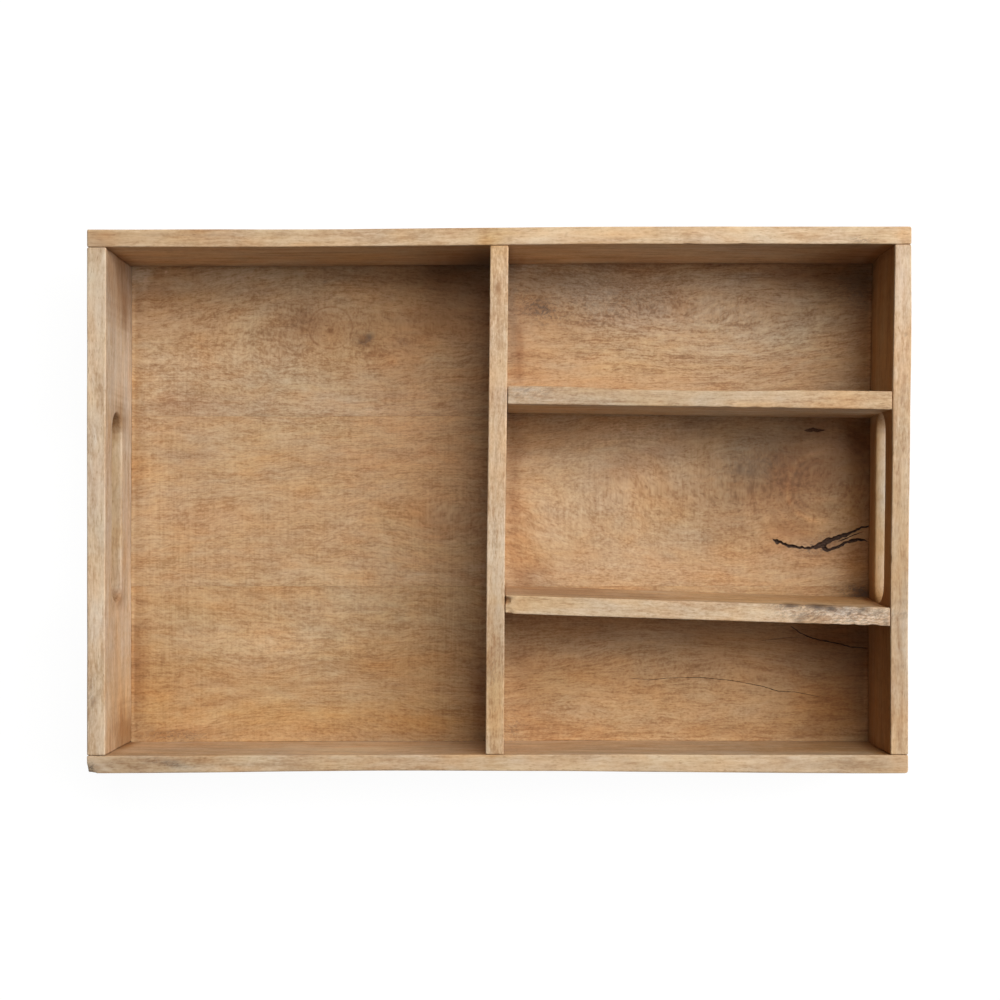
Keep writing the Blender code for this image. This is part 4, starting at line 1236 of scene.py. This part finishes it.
def grained_wood(name, tone, weights, roughness):
    """Bare sanded hardwood about a middle tone, with its fibres along the grain that the mesh carries."""
    material, tree, shader = new_finish(name)
    grain, rings, stain_shade_and_light = carried(tree, "grain"), carried(tree, "rings", "Fac"), carried(tree, "stain_shade_and_light")
    marks, swirls = carried(tree, "marks"), carried(tree, "swirl")
    specks, lively, saw_marks = add_node(tree, "ShaderNodeSeparateXYZ", {"Vector": marks}).outputs
    swirl, straight, calm = add_node(tree, "ShaderNodeSeparateXYZ", {"Vector": swirls}).outputs
    along = add_node(tree, "ShaderNodeSeparateXYZ", {"Vector": grain}).outputs["X"]
    ring_place = add_node(tree, "ShaderNodeCombineXYZ", {"X": along, "Y": rings, "Z": 0.0}).outputs["Vector"]

    parts = {
        "cloud": noise(tree, grain, (11, 26, 26), 2.0, 0.7, 0.3),
        "body": noise(tree, grain, (68, 92, 92), 3.0, 1.0, 0.4),
        "streak": noise(tree, grain, (21, 190, 190), 3.0, 0.8, 0.3),
        "hair": noise(tree, grain, (60, 620, 620), 1.0, 0.8),
        "stipple": noise(tree, grain, (450, 740, 740), 1.0, 0.9),
        "fibre": noise(tree, grain, (210, 950, 950), 1.0, 0.7),
        "rings": noise(tree, ring_place, (9, 170, 1), 3.0, 0.8),
        "saw": noise(tree, grain, (620, 24, 24), 1.0, 0.8),
    }
    shares = {
        "saw": saw_marks, "streak": straight, "hair": straight, "fibre": straight, "stipple": calm,
        "rings": maths(tree, "MULTIPLY", straight, maths(tree, "MULTIPLY_ADD", swirl, 3.2, 1.0)),
    }
    total = 0.0
    for kind, part in parts.items():
        swing = maths(tree, "MULTIPLY", maths(tree, "SUBTRACT", part, 0.5), weights[kind])
        total = maths(tree, "MULTIPLY_ADD", swing, shares.get(kind, 1.0), total)
    total = maths(tree, "MULTIPLY_ADD", total, lively, 0.5)
    wood = ramp(tree, total, (
        (0.12, toned(tone, (0.55, 0.43, 0.33))), (0.36, toned(tone, (0.79, 0.715, 0.643))), (0.5, tone),
        (0.64, toned(tone, (1.145, 1.21, 1.285))), (0.9, toned(tone, (1.30, 1.45, 1.63)))), False)
    richness = noise(tree, grain, (13, 30, 30), 3.0, 0.8, 0.3)
    hue = noise(tree, grain, (20, 60, 60), 2.0, 0.7, 0.3)
    for part, low, high in (
            (richness, (0.98, 1.06, 1.16), (1.025, 0.93, 0.82)), (hue, (1.02, 1.0, 0.94), (0.98, 1.0, 1.06))):
        shift = ramp(tree, part, ((0.3, low), (0.5, (1, 1, 1)), (0.7, high)), False)
        wood = vector_maths(tree, "MULTIPLY", wood, shift)
    pore_noise = noise(tree, grain, (240, 2100, 2100), 0.0)
    pores = ramp(tree, pore_noise, ((0.22, (0.78, 0.72, 0.67)), (0.32, (1, 1, 1))), False)
    wood = vector_maths(tree, "MULTIPLY", wood, pores)
    # The points' stains, with painted shade and painted light among them
    wood = vector_maths(tree, "MULTIPLY", wood, stain_shade_and_light)
    great_knots = carried(tree, "knot_rings")
    ring_at, *shown_rings = add_node(tree, "ShaderNodeSeparateXYZ", {"Vector": great_knots}).outputs
    for lines, clear in zip(RING_LINES, shown_rings):
        marks_at = [(radius / RING_SPAN + side * width / RING_SPAN, factor if side == 0 else (1, 1, 1))
                    for radius, width, factor in lines for side in (-1, 0, 1)]
        lined = add_node(tree, "ShaderNodeMix", {
            "Factor": clear, "A": (1, 1, 1, 1), "B": ramp(tree, ring_at, marks_at, False)}, data_type="RGBA")
        wood = vector_maths(tree, "MULTIPLY", wood, lined.outputs["Result"])
    turned = add_node(tree, "ShaderNodeVectorRotate", {
        "Vector": grain, "Angle": math.radians(24)}, rotation_type="Y_AXIS").outputs["Vector"]
    crumbs = noise(tree, turned, (230, 700, 700), 3.0, 0.8, 0.8)
    shown = maths(tree, "MULTIPLY", specks, ramp(tree, crumbs, ((0.40, (1, 1, 1)), (0.56, (0, 0, 0))), False))
    wood = add_node(tree, "ShaderNodeMix", {
        "Factor": shown, "A": wood, "B": (*SPECK_COLOUR, 1)}, data_type="RGBA")
    wood = wood.outputs["Result"]
    tree.links.new(wood, shader.inputs["Base Color"])

    rough = maths(tree, "MULTIPLY_ADD", parts["body"], -0.16, roughness + 0.08)
    tree.links.new(rough, shader.inputs["Roughness"])
    shader.inputs["Specular IOR Level"].default_value = 0.35
    relief = maths(tree, "MULTIPLY_ADD", parts["stipple"], 0.6, parts["streak"])
    relief = maths(tree, "MULTIPLY_ADD", parts["fibre"], 0.4, relief)
    relief = maths(tree, "MULTIPLY_ADD", maths(tree, "LESS_THAN", pore_noise, 0.27), -0.3, relief)
    relief = maths(tree, "MULTIPLY_ADD", shown, -0.6, relief)
    bump = add_node(tree, "ShaderNodeBump", {"Height": relief, "Strength": 0.35, "Distance": 0.25 * MM})
    tree.links.new(bump.outputs["Normal"], shader.inputs["Normal"])
    return material


def bark_finish(name, tone):
    """Dark rough bark and dirt inside a crack."""
    material, tree, shader = new_finish(name)
    place = add_node(tree, "ShaderNodeTexCoord").outputs["Object"]
    crumb = noise(tree, place, (700, 1500, 1500), 4.0, 0.7)
    colour = ramp(tree, crumb, ((0.42, tone), (0.62, scaled(tone, 2)), (0.8, scaled(tone, 4.5))))
    tree.links.new(colour, shader.inputs["Base Color"])
    rough = maths(tree, "MULTIPLY_ADD", crumb, 0.2, 0.75)
    tree.links.new(rough, shader.inputs["Roughness"])
    shader.inputs["Specular IOR Level"].default_value = 0.15
    bump = add_node(tree, "ShaderNodeBump", {"Height": crumb, "Strength": 0.8, "Distance": 0.4 * MM})
    tree.links.new(bump.outputs["Normal"], shader.inputs["Normal"])
    return material


def drawn_steel(name, tone):
    """Slightly dulled wire, brushed by drawing."""
    material, tree, shader = new_finish(name)
    place = add_node(tree, "ShaderNodeTexCoord").outputs["Object"]
    cloud = noise(tree, place, (900, 900, 900), 3.0, 0.6)
    colour = ramp(tree, cloud, ((0.3, scaled(tone, 0.45)), (0.6, tone)))
    tree.links.new(colour, shader.inputs["Base Color"])
    tree.links.new(maths(tree, "MULTIPLY_ADD", cloud, 0.3, 0.28), shader.inputs["Roughness"])
    shader.inputs["Metallic"].default_value = 1.0
    return material


def finish_named(name):
    """The wood or steel of this slot, made the first time it is asked for."""
    if name in bpy.data.materials:
        return bpy.data.materials[name]
    colours = bpy.context.scene.tray_colours
    if name == "tray_outer_wood":
        return grained_wood(name, tuple(colours.outer), BOARD_FIGURE, 0.62)
    if name == "tray_divider_wood":
        return grained_wood(name, tuple(colours.divider), DIVIDER_FIGURE, 0.62)
    if name == "tray_floor_wood":
        return grained_wood(name, tuple(colours.floor), FLOOR_FIGURE, 0.58)
    if name == "tray_bark":
        return bark_finish(name, tuple(colours.bark))
    if name == "tray_knot":
        return bark_finish(name, tuple(colours.knot))
    return drawn_steel(name, tuple(colours.steel))


# Cutters

def cutter_from(name, bm, material=None):
    bmesh.ops.recalc_face_normals(bm, faces=bm.faces)
    mesh = bpy.data.meshes.new(name)
    bm.to_mesh(mesh)
    bm.free()
    if material:
        mesh.materials.append(material)
    return link(name, mesh)


def slot_cutter(name, middle_x, sizes):
    """A lofted stadium that flares at both faces, so that the slot comes out with round edges.

    Its straight runs and its depth are divided too, because the stains, painted shade and painted light are
    held by the points.
    """
    steps, end_steps, run_steps = 7, 28, 24
    past_face, past_edge = 2 * MM, 4 * MM
    flare = []
    for step in range(steps + 1):
        angle = SLOT_SWEEP * step / steps
        flare.append((
            WALL / 2 - sizes.slot_rounding * (math.sin(SLOT_SWEEP) - math.sin(angle)),
            sizes.slot_rounding * (1 - math.cos(angle)),
        ))
    depth, growth = flare[-1]
    flare.append((depth + past_face, growth + past_edge))
    straight = [(share * flare[0][0], 0.0) for share in (-0.6, -0.2, 0.2, 0.6)]
    profile = [(-depth, growth) for depth, growth in reversed(flare)] + straight + flare
    reach = (sizes.slot_length - sizes.slot_height) / 2
    height = HEIGHT - sizes.slot_below_rim - sizes.slot_height / 2
    loops = []
    for depth, growth in profile:
        radius = sizes.slot_height / 2 + growth
        loop = []
        for end, start in ((1, -math.pi / 2), (-1, math.pi / 2)):
            for step in range(end_steps + 1):
                angle = start + math.pi * step / end_steps
                loop.append((middle_x + depth, sizes.slot_offset + end * reach + radius * math.cos(angle),
                             height + radius * math.sin(angle)))
            for step in range(1, run_steps):
                loop.append((middle_x + depth, sizes.slot_offset + end * reach * (1 - 2 * step / run_steps),
                             height + end * radius))
        loops.append(loop)
    bm = bmesh.new()
    loft(bm, loops)
    return cutter_from(name, bm)


def ragged(chance, count, amount):
    """Random values whose neighbours lie close together."""
    return amount * np.convolve(chance.normal(size=count + 3), (0.3, 0.5, 0.5, 0.3), mode="valid")


def crack_cutter(name, filling, path, widths, depth, seed):
    """A ragged wedge along a path over the floor, wide at its lips and narrow at its foot."""
    spacing, lip = 0.55 * MM, 0.15 * MM
    path = np.array(path) * MM
    widths = np.array(widths) * MM
    lengths = np.concatenate(([0], np.cumsum(np.linalg.norm(np.diff(path, axis=0), axis=1))))
    count = int(lengths[-1] / spacing) + 2
    places = np.linspace(0, lengths[-1], count)
    xs, ys = np.interp(places, lengths, path[:, 0]), np.interp(places, lengths, path[:, 1])
    width = np.interp(places, lengths, widths)
    chance = np.random.default_rng(seed)
    ys = ys + width * ragged(chance, count, 0.10)
    left = width * (0.5 + ragged(chance, count, 0.15)).clip(0.12, 1.1)
    right = width * (0.5 + ragged(chance, count, 0.15)).clip(0.12, 1.1)
    heading = np.arctan2(np.gradient(ys), np.gradient(xs))
    heading = np.convolve(np.pad(heading, 2, mode="edge"), np.ones(5) / 5, mode="valid")
    side_x, side_y = -np.sin(heading), np.cos(heading)
    loops = []
    for station in range(count):
        end = min(station, count - 1 - station) / 3
        open_part = min(1.0, 0.15 + end)
        foot = depth * MM * min(1.0, 0.3 + 0.5 * end)
        loop = []
        for side, height, share in (
                (left, FLOOR + MM, 1.0), (left, FLOOR - lip, 0.92), (left, FLOOR - foot, 0.3),
                (-right, FLOOR - foot, 0.3), (-right, FLOOR - lip, 0.92), (-right, FLOOR + MM, 1.0)):
            reach = side[station] * share * open_part
            loop.append((
                xs[station] + side_x[station] * reach, ys[station] + side_y[station] * reach, height))
        loops.append(loop)
    bm = bmesh.new()
    loft(bm, loops)
    return cutter_from(name, bm, finish_named("tray_" + filling))


# Brads

def brad_places(sizes):
    """The middle of every brad's head and the way it faces, before the boards settle."""
    places = []
    cross_heights = spread(DIVIDER_FOOT, HEIGHT, 2)
    centre = centre_line(sizes)
    for side in (-1, 1):
        face, outward = side * HALF_WIDTH, (0, side, 0)
        for end in (-1, 1):
            places += [((end * (HALF_LENGTH - WALL / 2), face, z), outward) for z in spread(0, HEIGHT, 3)]
        seat = meet(centre, plan_line(0, face, 0))[0]
        places += [((seat, face, z), outward) for z in spread(DIVIDER_FOOT, HEIGHT, 3)]
        run = HALF_LENGTH - 60 * MM
        places += [((x, face, FLOOR / 2), outward) for x in spread(-run, run, 4)]
    for low, high in ((-INNER_Y, FRONT_SEAM), (FRONT_SEAM, REAR_SEAM), (REAR_SEAM, INNER_Y)):
        for end in (-1, 1):
            places.append(((end * HALF_LENGTH, (low + high) / 2, FLOOR / 2), (end, 0, 0)))
    for line_at in (rear_line, front_line):
        for z in cross_heights:
            line = line_at(sizes, z)
            along = line[1]
            left = meet(line, beside(centre, sizes.divider / 2))
            right = meet(line, plan_line(HALF_LENGTH, 0, math.pi / 2))
            places.append(((*left, z), (-along[0], -along[1], 0)))
            places.append(((*right, z), (along[0], along[1], 0)))
    return places


def brad_pits(name, places, brads, wanted):
    """One cutter for the shallow pits over the brads that wanted() picks."""
    bm = bmesh.new()
    for place, outward in places:
        if not wanted(place, outward):
            continue
        turn = Vector(outward).to_track_quat("Z", "Y").to_matrix().to_4x4()
        put = Matrix.Translation(place) @ turn
        radius = brads.head / 2 + PIT_ROOM
        loops = []
        for growth, height in ((0.0, -brads.depth - brads.head_height), (0.0, -PIT_LIP), (PIT_FLARE, MM)):
            loops.append([
                put @ Vector(((radius + growth) * math.cos(math.tau * side / brads.sides),
                              (radius + growth) * math.sin(math.tau * side / brads.sides), height))
                for side in range(brads.sides)])
        loft(bm, loops)
    return cutter_from(name, bm)


# Lines of the dividers

def centre_line(sizes):
    return plan_line(CENTRE_X, 0, math.pi / 2 + sizes.centre_turn)


def rear_line(sizes, _height):
    low, high = REAR_DIVIDER
    return plan_line((low.x + high.x) / 2, (low.y + high.y) / 2, sizes.rear_turn)


def front_line(sizes, height):
    """The middle of the leaning divider at this height: its foot stands further back than its top."""
    low, high = FRONT_DIVIDER
    half_height = (HEIGHT - DIVIDER_FOOT) / 2
    shift = math.tan(sizes.front_lean) * (HEIGHT - half_height - height)
    return plan_line((low.x + high.x) / 2, (low.y + high.y) / 2 + shift, sizes.front_turn)


def divider_points(points, line_at, sizes, start, end, thickness):
    """Lays a board of unit plan between two faces, where its line runs at each height."""
    placed = points.copy()
    corners = []
    for height in (DIVIDER_FOOT, HEIGHT):
        faces = [beside(line_at(height), offset) for offset in (-thickness / 2, thickness / 2)]
        corners.append([meet(face, stop) for face in faces for stop in (start, end)])
    rise = ((points[:, 2] - DIVIDER_FOOT) / (HEIGHT - DIVIDER_FOOT))[:, None]
    near_start, near_end, far_start, far_end = [low * (1 - rise) + high * rise for low, high in zip(*corners)]
    along, across = points[:, :1], points[:, 1:2]
    near = near_start * (1 - along) + near_end * along
    far = far_start * (1 - along) + far_end * along
    placed[:, :2] = near * (1 - across) + far * across
    return placed


def finish_board(name, points, faces, cutters, lay, finish):
    """Wears and cuts an outer board or a divider, and completes it with its grain."""
    mesh = cut_mesh(name, mesh_from(name, wear(points, name), faces), cutters)
    dress(mesh, name, lay, "rim")
    complete("grained_" + name, mesh, finish_named(finish), [name])


# Operators

class TRAY_OT_floor_planks(bpy.types.Operator):
    """Makes the three floor planks with their knots, cracks, stains and painted shade and light"""
    bl_idname = "tray.floor_planks"
    bl_label = "Floor planks"

    def execute(self, context):
        sizes = context.scene.tray_sizes
        reach = INNER_X - sizes.joint_gap
        edge, seam = INNER_Y - sizes.joint_gap, sizes.seam_gap / 2
        spans = {
            "front": (-edge, FRONT_SEAM - seam),
            "middle": (FRONT_SEAM + seam, REAR_SEAM - seam),
            "rear": (REAR_SEAM + seam, edge),
        }
        wood = finish_named("tray_floor_wood")
        for plank, (low, high) in spans.items():
            name = plank + "_floor_plank"
            points, faces = rounded_box(
                (-reach, low, 0), (reach, high, FLOOR), sizes.step, sizes.plank_rounding, SEEDS[name])
            mesh = mesh_from(name, points, faces)
            mesh.materials.append(wood)
            cutters = []
            for number, (owner, filling, path, widths, depth) in enumerate(CRACKS):
                if owner == plank:
                    cutters.append(crack_cutter(
                        f"crack_{number}", filling, path, widths, depth, SEEDS["cracks"] + number))
            mesh = cut_mesh(name, mesh, cutters)
            dress(mesh, name, floor_grain, "floor")
            complete("grained_" + name, mesh, wood, [name], 30)
        return {"FINISHED"}


class TRAY_OT_outer_boards(bpy.types.Operator):
    """Makes the four outer boards, with the hand slots cut through the end boards"""
    bl_idname = "tray.outer_boards"
    bl_label = "Outer boards"

    def execute(self, context):
        sizes, brads = context.scene.tray_sizes, context.scene.tray_brads
        places = brad_places(sizes)
        for name, side in (("front_board", -1), ("back_board", 1)):
            inner, outer = sorted((side * INNER_Y, side * HALF_WIDTH))
            points, faces = rounded_box(
                (-HALF_LENGTH, inner, 0), (HALF_LENGTH, outer, HEIGHT), sizes.step, sizes.edge_rounding,
                SEEDS[name], sizes.unevenness)
            pits = brad_pits(name + "_pits", places, brads, lambda place, outward: outward[1] * side > 0.9)
            finish_board(name, points, faces, [pits], board_grain(SEEDS[name], 0, 2),
                         "tray_outer_wood")
        for name, side in (("left_end_board", -1), ("right_end_board", 1)):
            inner, outer = sorted((side * INNER_X, side * HALF_LENGTH))
            reach = INNER_Y - sizes.joint_gap
            points, faces = rounded_box(
                (inner, -reach, 0), (outer, reach, HEIGHT), sizes.step, sizes.edge_rounding,
                SEEDS[name], sizes.unevenness)
            slot = slot_cutter(name + "_slot", (inner + outer) / 2, sizes)
            pits = brad_pits(name + "_pits", places, brads, lambda place, outward: outward[0] * side > 0.9
                             and abs(place[0]) > INNER_X)
            finish_board(name, points, faces, [slot, pits], board_grain(SEEDS[name], 1, 2),
                         "tray_outer_wood")
        return {"FINISHED"}


class TRAY_OT_dividers(bpy.types.Operator):
    """Makes the centre divider and the two cross dividers, seated between their neighbours' faces"""
    bl_idname = "tray.dividers"
    bl_label = "Dividers"

    def execute(self, context):
        sizes, brads = context.scene.tray_sizes, context.scene.tray_brads
        gap = sizes.joint_gap
        centre = centre_line(sizes)
        back, front = plan_line(0, INNER_Y - gap, 0), plan_line(0, gap - INNER_Y, 0)
        seat = beside(centre, -sizes.divider / 2 - gap)
        right = plan_line(INNER_X - gap, 0, math.pi / 2)
        jobs = (
            ("centre_divider", lambda _height: centre, front, back, sizes.divider, 2 * INNER_Y, 1),
            ("rear_cross_divider", lambda height: rear_line(sizes, height), seat, right, sizes.divider,
             INNER_X, 0),
            ("front_cross_divider", lambda height: front_line(sizes, height), seat, right,
             sizes.divider / math.cos(sizes.front_lean), INNER_X, 0),
        )
        for name, line_at, start, end, thickness, length, run in jobs:
            points, faces = rounded_box(
                (0, 0, DIVIDER_FOOT), (length, thickness, HEIGHT), sizes.step, sizes.edge_rounding,
                SEEDS[name], sizes.unevenness)
            unit = points / np.array((length, thickness, 1))
            placed = divider_points(unit, line_at, sizes, start, end, thickness)
            cutters = []
            if name == "centre_divider":
                cutters.append(brad_pits(
                    name + "_pits", brad_places(sizes), brads,
                    lambda place, outward: abs(place[0]) < INNER_X / 2 and outward[0] < -0.9))
            slope = math.tan(line_at(HEIGHT)[1][0] if run else line_at(HEIGHT)[1][1])
            drop = math.tan(sizes.front_lean) if name.startswith("front") else 0.0
            finish_board(name, placed, faces, cutters, divider_grain(SEEDS[name], run, slope, drop),
                         "tray_divider_wood")
        return {"FINISHED"}


class TRAY_OT_brads(bpy.types.Operator):
    """Sets a finishing brad at every marked point with Geometry Nodes"""
    bl_idname = "tray.brads"
    bl_label = "Brads"

    def execute(self, context):
        sizes, brads = context.scene.tray_sizes, context.scene.tray_brads
        places = brad_places(sizes)
        heads = settle(np.array([place for place, _outward in places]))
        marks = bpy.data.meshes.new("brad_marks")
        marks.from_pydata(heads.tolist(), [], [])
        put_attribute(marks, "outward", "FLOAT_VECTOR", np.array([outward for _place, outward in places]))
        holder = link("brad_marks", marks)
        modifier = holder.modifiers.new("brads", "NODES")
        modifier.node_group = brad_tree()
        values = {
            "Length": brads.length, "Shank": brads.shank, "Head": brads.head,
            "Head Height": brads.head_height, "Point": brads.point, "Set": brads.depth,
            "Sides": brads.sides, "Steel": finish_named("tray_steel"),
        }
        for item in modifier.node_group.interface.items_tree:
            if item.item_type == "SOCKET" and item.in_out == "INPUT" and item.name in values:
                modifier[item.identifier] = values[item.name]
        graph = context.evaluated_depsgraph_get()
        mesh = bpy.data.meshes.new_from_object(holder.evaluated_get(graph))
        bpy.data.objects.remove(holder)
        if len(mesh.polygons) == 0:
            raise RuntimeError("the brad tree made no faces")
        mesh.name = "brads"
        piece = link("set_brads", mesh)
        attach(piece, "root")
        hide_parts(*[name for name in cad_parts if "_brad_" in name])
        return {"FINISHED"}


def brad_tree():
    """A node tree that stands a brad, with head, shank and point, at every point it is given."""
    tree = bpy.data.node_groups.new("Set brads", "GeometryNodeTree")
    tree.interface.new_socket("Geometry", in_out="INPUT", socket_type="NodeSocketGeometry")
    for name in ("Length", "Shank", "Head", "Head Height", "Point", "Set"):
        tree.interface.new_socket(name, in_out="INPUT", socket_type="NodeSocketFloat")
    tree.interface.new_socket("Sides", in_out="INPUT", socket_type="NodeSocketInt")
    tree.interface.new_socket("Steel", in_out="INPUT", socket_type="NodeSocketMaterial")
    tree.interface.new_socket("Geometry", in_out="OUTPUT", socket_type="NodeSocketGeometry")
    given = tree.nodes.new("NodeGroupInput").outputs

    def part(kind, inputs, height):
        """A body of the brad, moved to this height under the face."""
        body = add_node(tree, kind, inputs).outputs["Mesh"]
        shift = add_node(tree, "ShaderNodeCombineXYZ", {"Z": height}).outputs["Vector"]
        return add_node(tree, "GeometryNodeTransform", {"Geometry": body, "Translation": shift}).outputs[0]

    half_head = maths(tree, "MULTIPLY", given["Head"], 0.5)
    half_shank = maths(tree, "MULTIPLY", given["Shank"], 0.5)
    top = maths(tree, "MULTIPLY", given["Set"], -1.0)
    under_head = maths(tree, "SUBTRACT", top, given["Head Height"])
    foot = maths(tree, "SUBTRACT", maths(tree, "SUBTRACT", top, given["Length"]), maths(
        tree, "MULTIPLY", given["Point"], -1.0))
    shank_length = maths(tree, "SUBTRACT", under_head, foot)
    head = part("GeometryNodeMeshCylinder", {
        "Vertices": given["Sides"], "Radius": half_head, "Depth": given["Head Height"],
    }, maths(tree, "MULTIPLY_ADD", given["Head Height"], -0.5, top))
    shank = part("GeometryNodeMeshCylinder", {
        "Vertices": given["Sides"], "Radius": half_shank, "Depth": shank_length,
    }, maths(tree, "MULTIPLY_ADD", shank_length, 0.5, foot))
    point = part("GeometryNodeMeshCone", {
        "Vertices": given["Sides"], "Radius Top": half_shank,
        "Radius Bottom": maths(tree, "MULTIPLY", half_shank, 0.25), "Depth": given["Point"],
    }, maths(tree, "SUBTRACT", foot, given["Point"]))
    joined = tree.nodes.new("GeometryNodeJoinGeometry")
    for body in (head, shank, point):
        tree.links.new(body, joined.inputs[0])
    outward = add_node(tree, "GeometryNodeInputNamedAttribute", {"Name": "outward"}, data_type="FLOAT_VECTOR")
    turned = add_node(tree, "FunctionNodeAlignRotationToVector", {
        "Vector": outward.outputs["Attribute"]}, axis="Z")
    dots = add_node(tree, "GeometryNodeMeshToPoints", {"Mesh": given["Geometry"]})
    copies = add_node(tree, "GeometryNodeInstanceOnPoints", {
        "Points": dots.outputs[0], "Instance": joined.outputs[0], "Rotation": turned.outputs[0]})
    real = add_node(tree, "GeometryNodeRealizeInstances", {"Geometry": copies.outputs[0]})
    steel = add_node(tree, "GeometryNodeSetMaterial", {
        "Geometry": real.outputs[0], "Material": given["Steel"]})
    output = tree.nodes.new("NodeGroupOutput")
    tree.links.new(steel.outputs[0], output.inputs[0])
    return tree


class TRAY_OT_stage(bpy.types.Operator):
    """Makes the pale floor under the tray, the soft lamps and the camera above it"""
    bl_idname = "tray.stage"
    bl_label = "Stage"

    def execute(self, context):
        scene = context.scene
        colours, studio = scene.tray_colours, scene.tray_studio
        mesh = bpy.data.meshes.new("stage_floor")
        corners = ((-1, -1), (1, -1), (1, 1), (-1, 1))
        mesh.from_pydata([(x * STAGE_HALF, y * STAGE_HALF, -STAGE_DROP) for x, y in corners],
                         [], [(0, 1, 2, 3)])
        mesh.materials.append(stage_finish("tray_stage", tuple(colours.stage)))
        link("stage_floor", mesh)
        for name, azimuth, elevation, spread_angle, weight, colour in STAGE_LAMPS:
            add_lamp(name, azimuth, elevation, spread_angle, weight * studio.level, colour, studio.distance)
        set_world(scene)
        add_camera(scene, studio.camera_height)
        scene.view_settings.view_transform = "Standard"
        return {"FINISHED"}


# Softboxes: name, azimuth from +X towards +Y, elevation, half angle they fill, share of the light on a level
# sheet, and colour
STAGE_LAMPS = (
    ("lamp_back", 65, 61, 17, 0.50, (1.0, 0.985, 0.93)),
    ("lamp_right", 12, 50, 14, 0.30, (1.0, 1.0, 1.0)),
    ("lamp_low", 15, 32, 12, 0.20, (0.97, 1.0, 1.0)),
)


def add_lamp(name, azimuth, elevation, half_angle, weight, colour, distance):
    """A round softbox that lights a level sheet in the middle of the tray by this share."""
    lamp = bpy.data.lights.new(name, "AREA")
    lamp.shape = "DISK"
    lamp.size = 2 * distance * math.tan(math.radians(half_angle))
    turn, rise = math.radians(azimuth), math.radians(elevation)
    towards = Vector((math.cos(rise) * math.cos(turn), math.cos(rise) * math.sin(turn), math.sin(rise)))
    lamp.energy = weight * math.pi ** 2 * distance ** 2 / math.sin(rise)
    lamp.color = colour
    holder = bpy.data.objects.new(name, lamp)
    bpy.context.scene.collection.objects.link(holder)
    holder.location = towards * distance
    holder.rotation_euler = towards.to_track_quat("Z", "Y").to_euler()


def seen_directly(tree):
    """1 for what the camera sees, straight or in a shiny or clear surface."""
    path = tree.nodes.new("ShaderNodeLightPath").outputs
    seen = maths(tree, "MAXIMUM", path["Is Camera Ray"], path["Is Glossy Ray"])
    return maths(tree, "MAXIMUM", seen, path["Is Transmission Ray"])


def stage_finish(name, colour):
    """A pale floor that looks white and keeps a faint shadow."""
    material = bpy.data.materials.new(name)
    material.use_nodes = True
    tree = material.node_tree
    tree.nodes.clear()
    floor = add_node(tree, "ShaderNodeBsdfDiffuse", {"Color": (*colour, 1)})
    faint = add_node(tree, "ShaderNodeBsdfDiffuse", {"Color": (STAGE_SHADOW, STAGE_SHADOW, STAGE_SHADOW, 1)})
    glow = add_node(tree, "ShaderNodeEmission", {"Color": (1, 1, 1, 1), "Strength": STAGE_GLOW})
    shown = add_node(tree, "ShaderNodeAddShader")
    tree.links.new(faint.outputs[0], shown.inputs[0])
    tree.links.new(glow.outputs[0], shown.inputs[1])
    choice = add_node(tree, "ShaderNodeMixShader", {"Fac": seen_directly(tree)})
    tree.links.new(floor.outputs[0], choice.inputs[1])
    tree.links.new(shown.outputs[0], choice.inputs[2])
    output = tree.nodes.new("ShaderNodeOutputMaterial")
    tree.links.new(choice.outputs[0], output.inputs["Surface"])
    return material


def set_world(scene):
    """A white surround that the camera sees and that adds no light."""
    world = bpy.data.worlds.new("tray_surround")
    scene.world = world
    world.use_nodes = True
    tree = world.node_tree
    tree.nodes.clear()
    ground = add_node(tree, "ShaderNodeBackground", {"Color": (1, 1, 1, 1), "Strength": seen_directly(tree)})
    output = tree.nodes.new("ShaderNodeOutputWorld")
    tree.links.new(ground.outputs[0], output.inputs["Surface"])


def add_camera(scene, height):
    """A camera looking straight down, a little in front of the tray's middle."""
    camera = bpy.data.cameras.new("camera")
    camera.sensor_width = CAMERA_SENSOR
    camera.lens = CAMERA_LENS
    camera.shift_x, camera.shift_y = CAMERA_SHIFT
    holder = bpy.data.objects.new("camera", camera)
    scene.collection.objects.link(holder)
    holder.location = (*CAMERA_PLACE, height)
    scene.camera = holder


class TRAY_PT_parts(bpy.types.Panel):
    """Lists the tray's operators and settings"""
    bl_idname = "TRAY_PT_parts"
    bl_label = "Serving Tray"
    bl_space_type = "VIEW_3D"
    bl_region_type = "UI"
    bl_category = "Tray"

    def draw(self, context):
        for operator in OPERATORS:
            self.layout.operator(operator.bl_idname)
        for name in SETTINGS:
            settings = getattr(context.scene, name)
            box = self.layout.box()
            for field in settings.__annotations__:
                box.prop(settings, field)


OPERATORS = (TRAY_OT_floor_planks, TRAY_OT_outer_boards, TRAY_OT_dividers, TRAY_OT_brads, TRAY_OT_stage)
SETTINGS = {
    "tray_sizes": TraySizes, "tray_brads": TrayBrads, "tray_colours": TrayColours, "tray_studio": TrayStudio,
}


def register():
    for kind in (*SETTINGS.values(), *OPERATORS, TRAY_PT_parts):
        bpy.utils.register_class(kind)
    for name, group in SETTINGS.items():
        setattr(bpy.types.Scene, name, PointerProperty(type=group))


def unregister():
    for name in SETTINGS:
        delattr(bpy.types.Scene, name)
    for kind in (TRAY_PT_parts, *reversed(OPERATORS), *reversed(SETTINGS.values())):
        bpy.utils.unregister_class(kind)


def main():
    register()
    bpy.ops.tray.floor_planks()
    bpy.ops.tray.outer_boards()
    bpy.ops.tray.dividers()
    bpy.ops.tray.brads()
    bpy.ops.tray.stage()


if __name__ == "__main__":
    main()
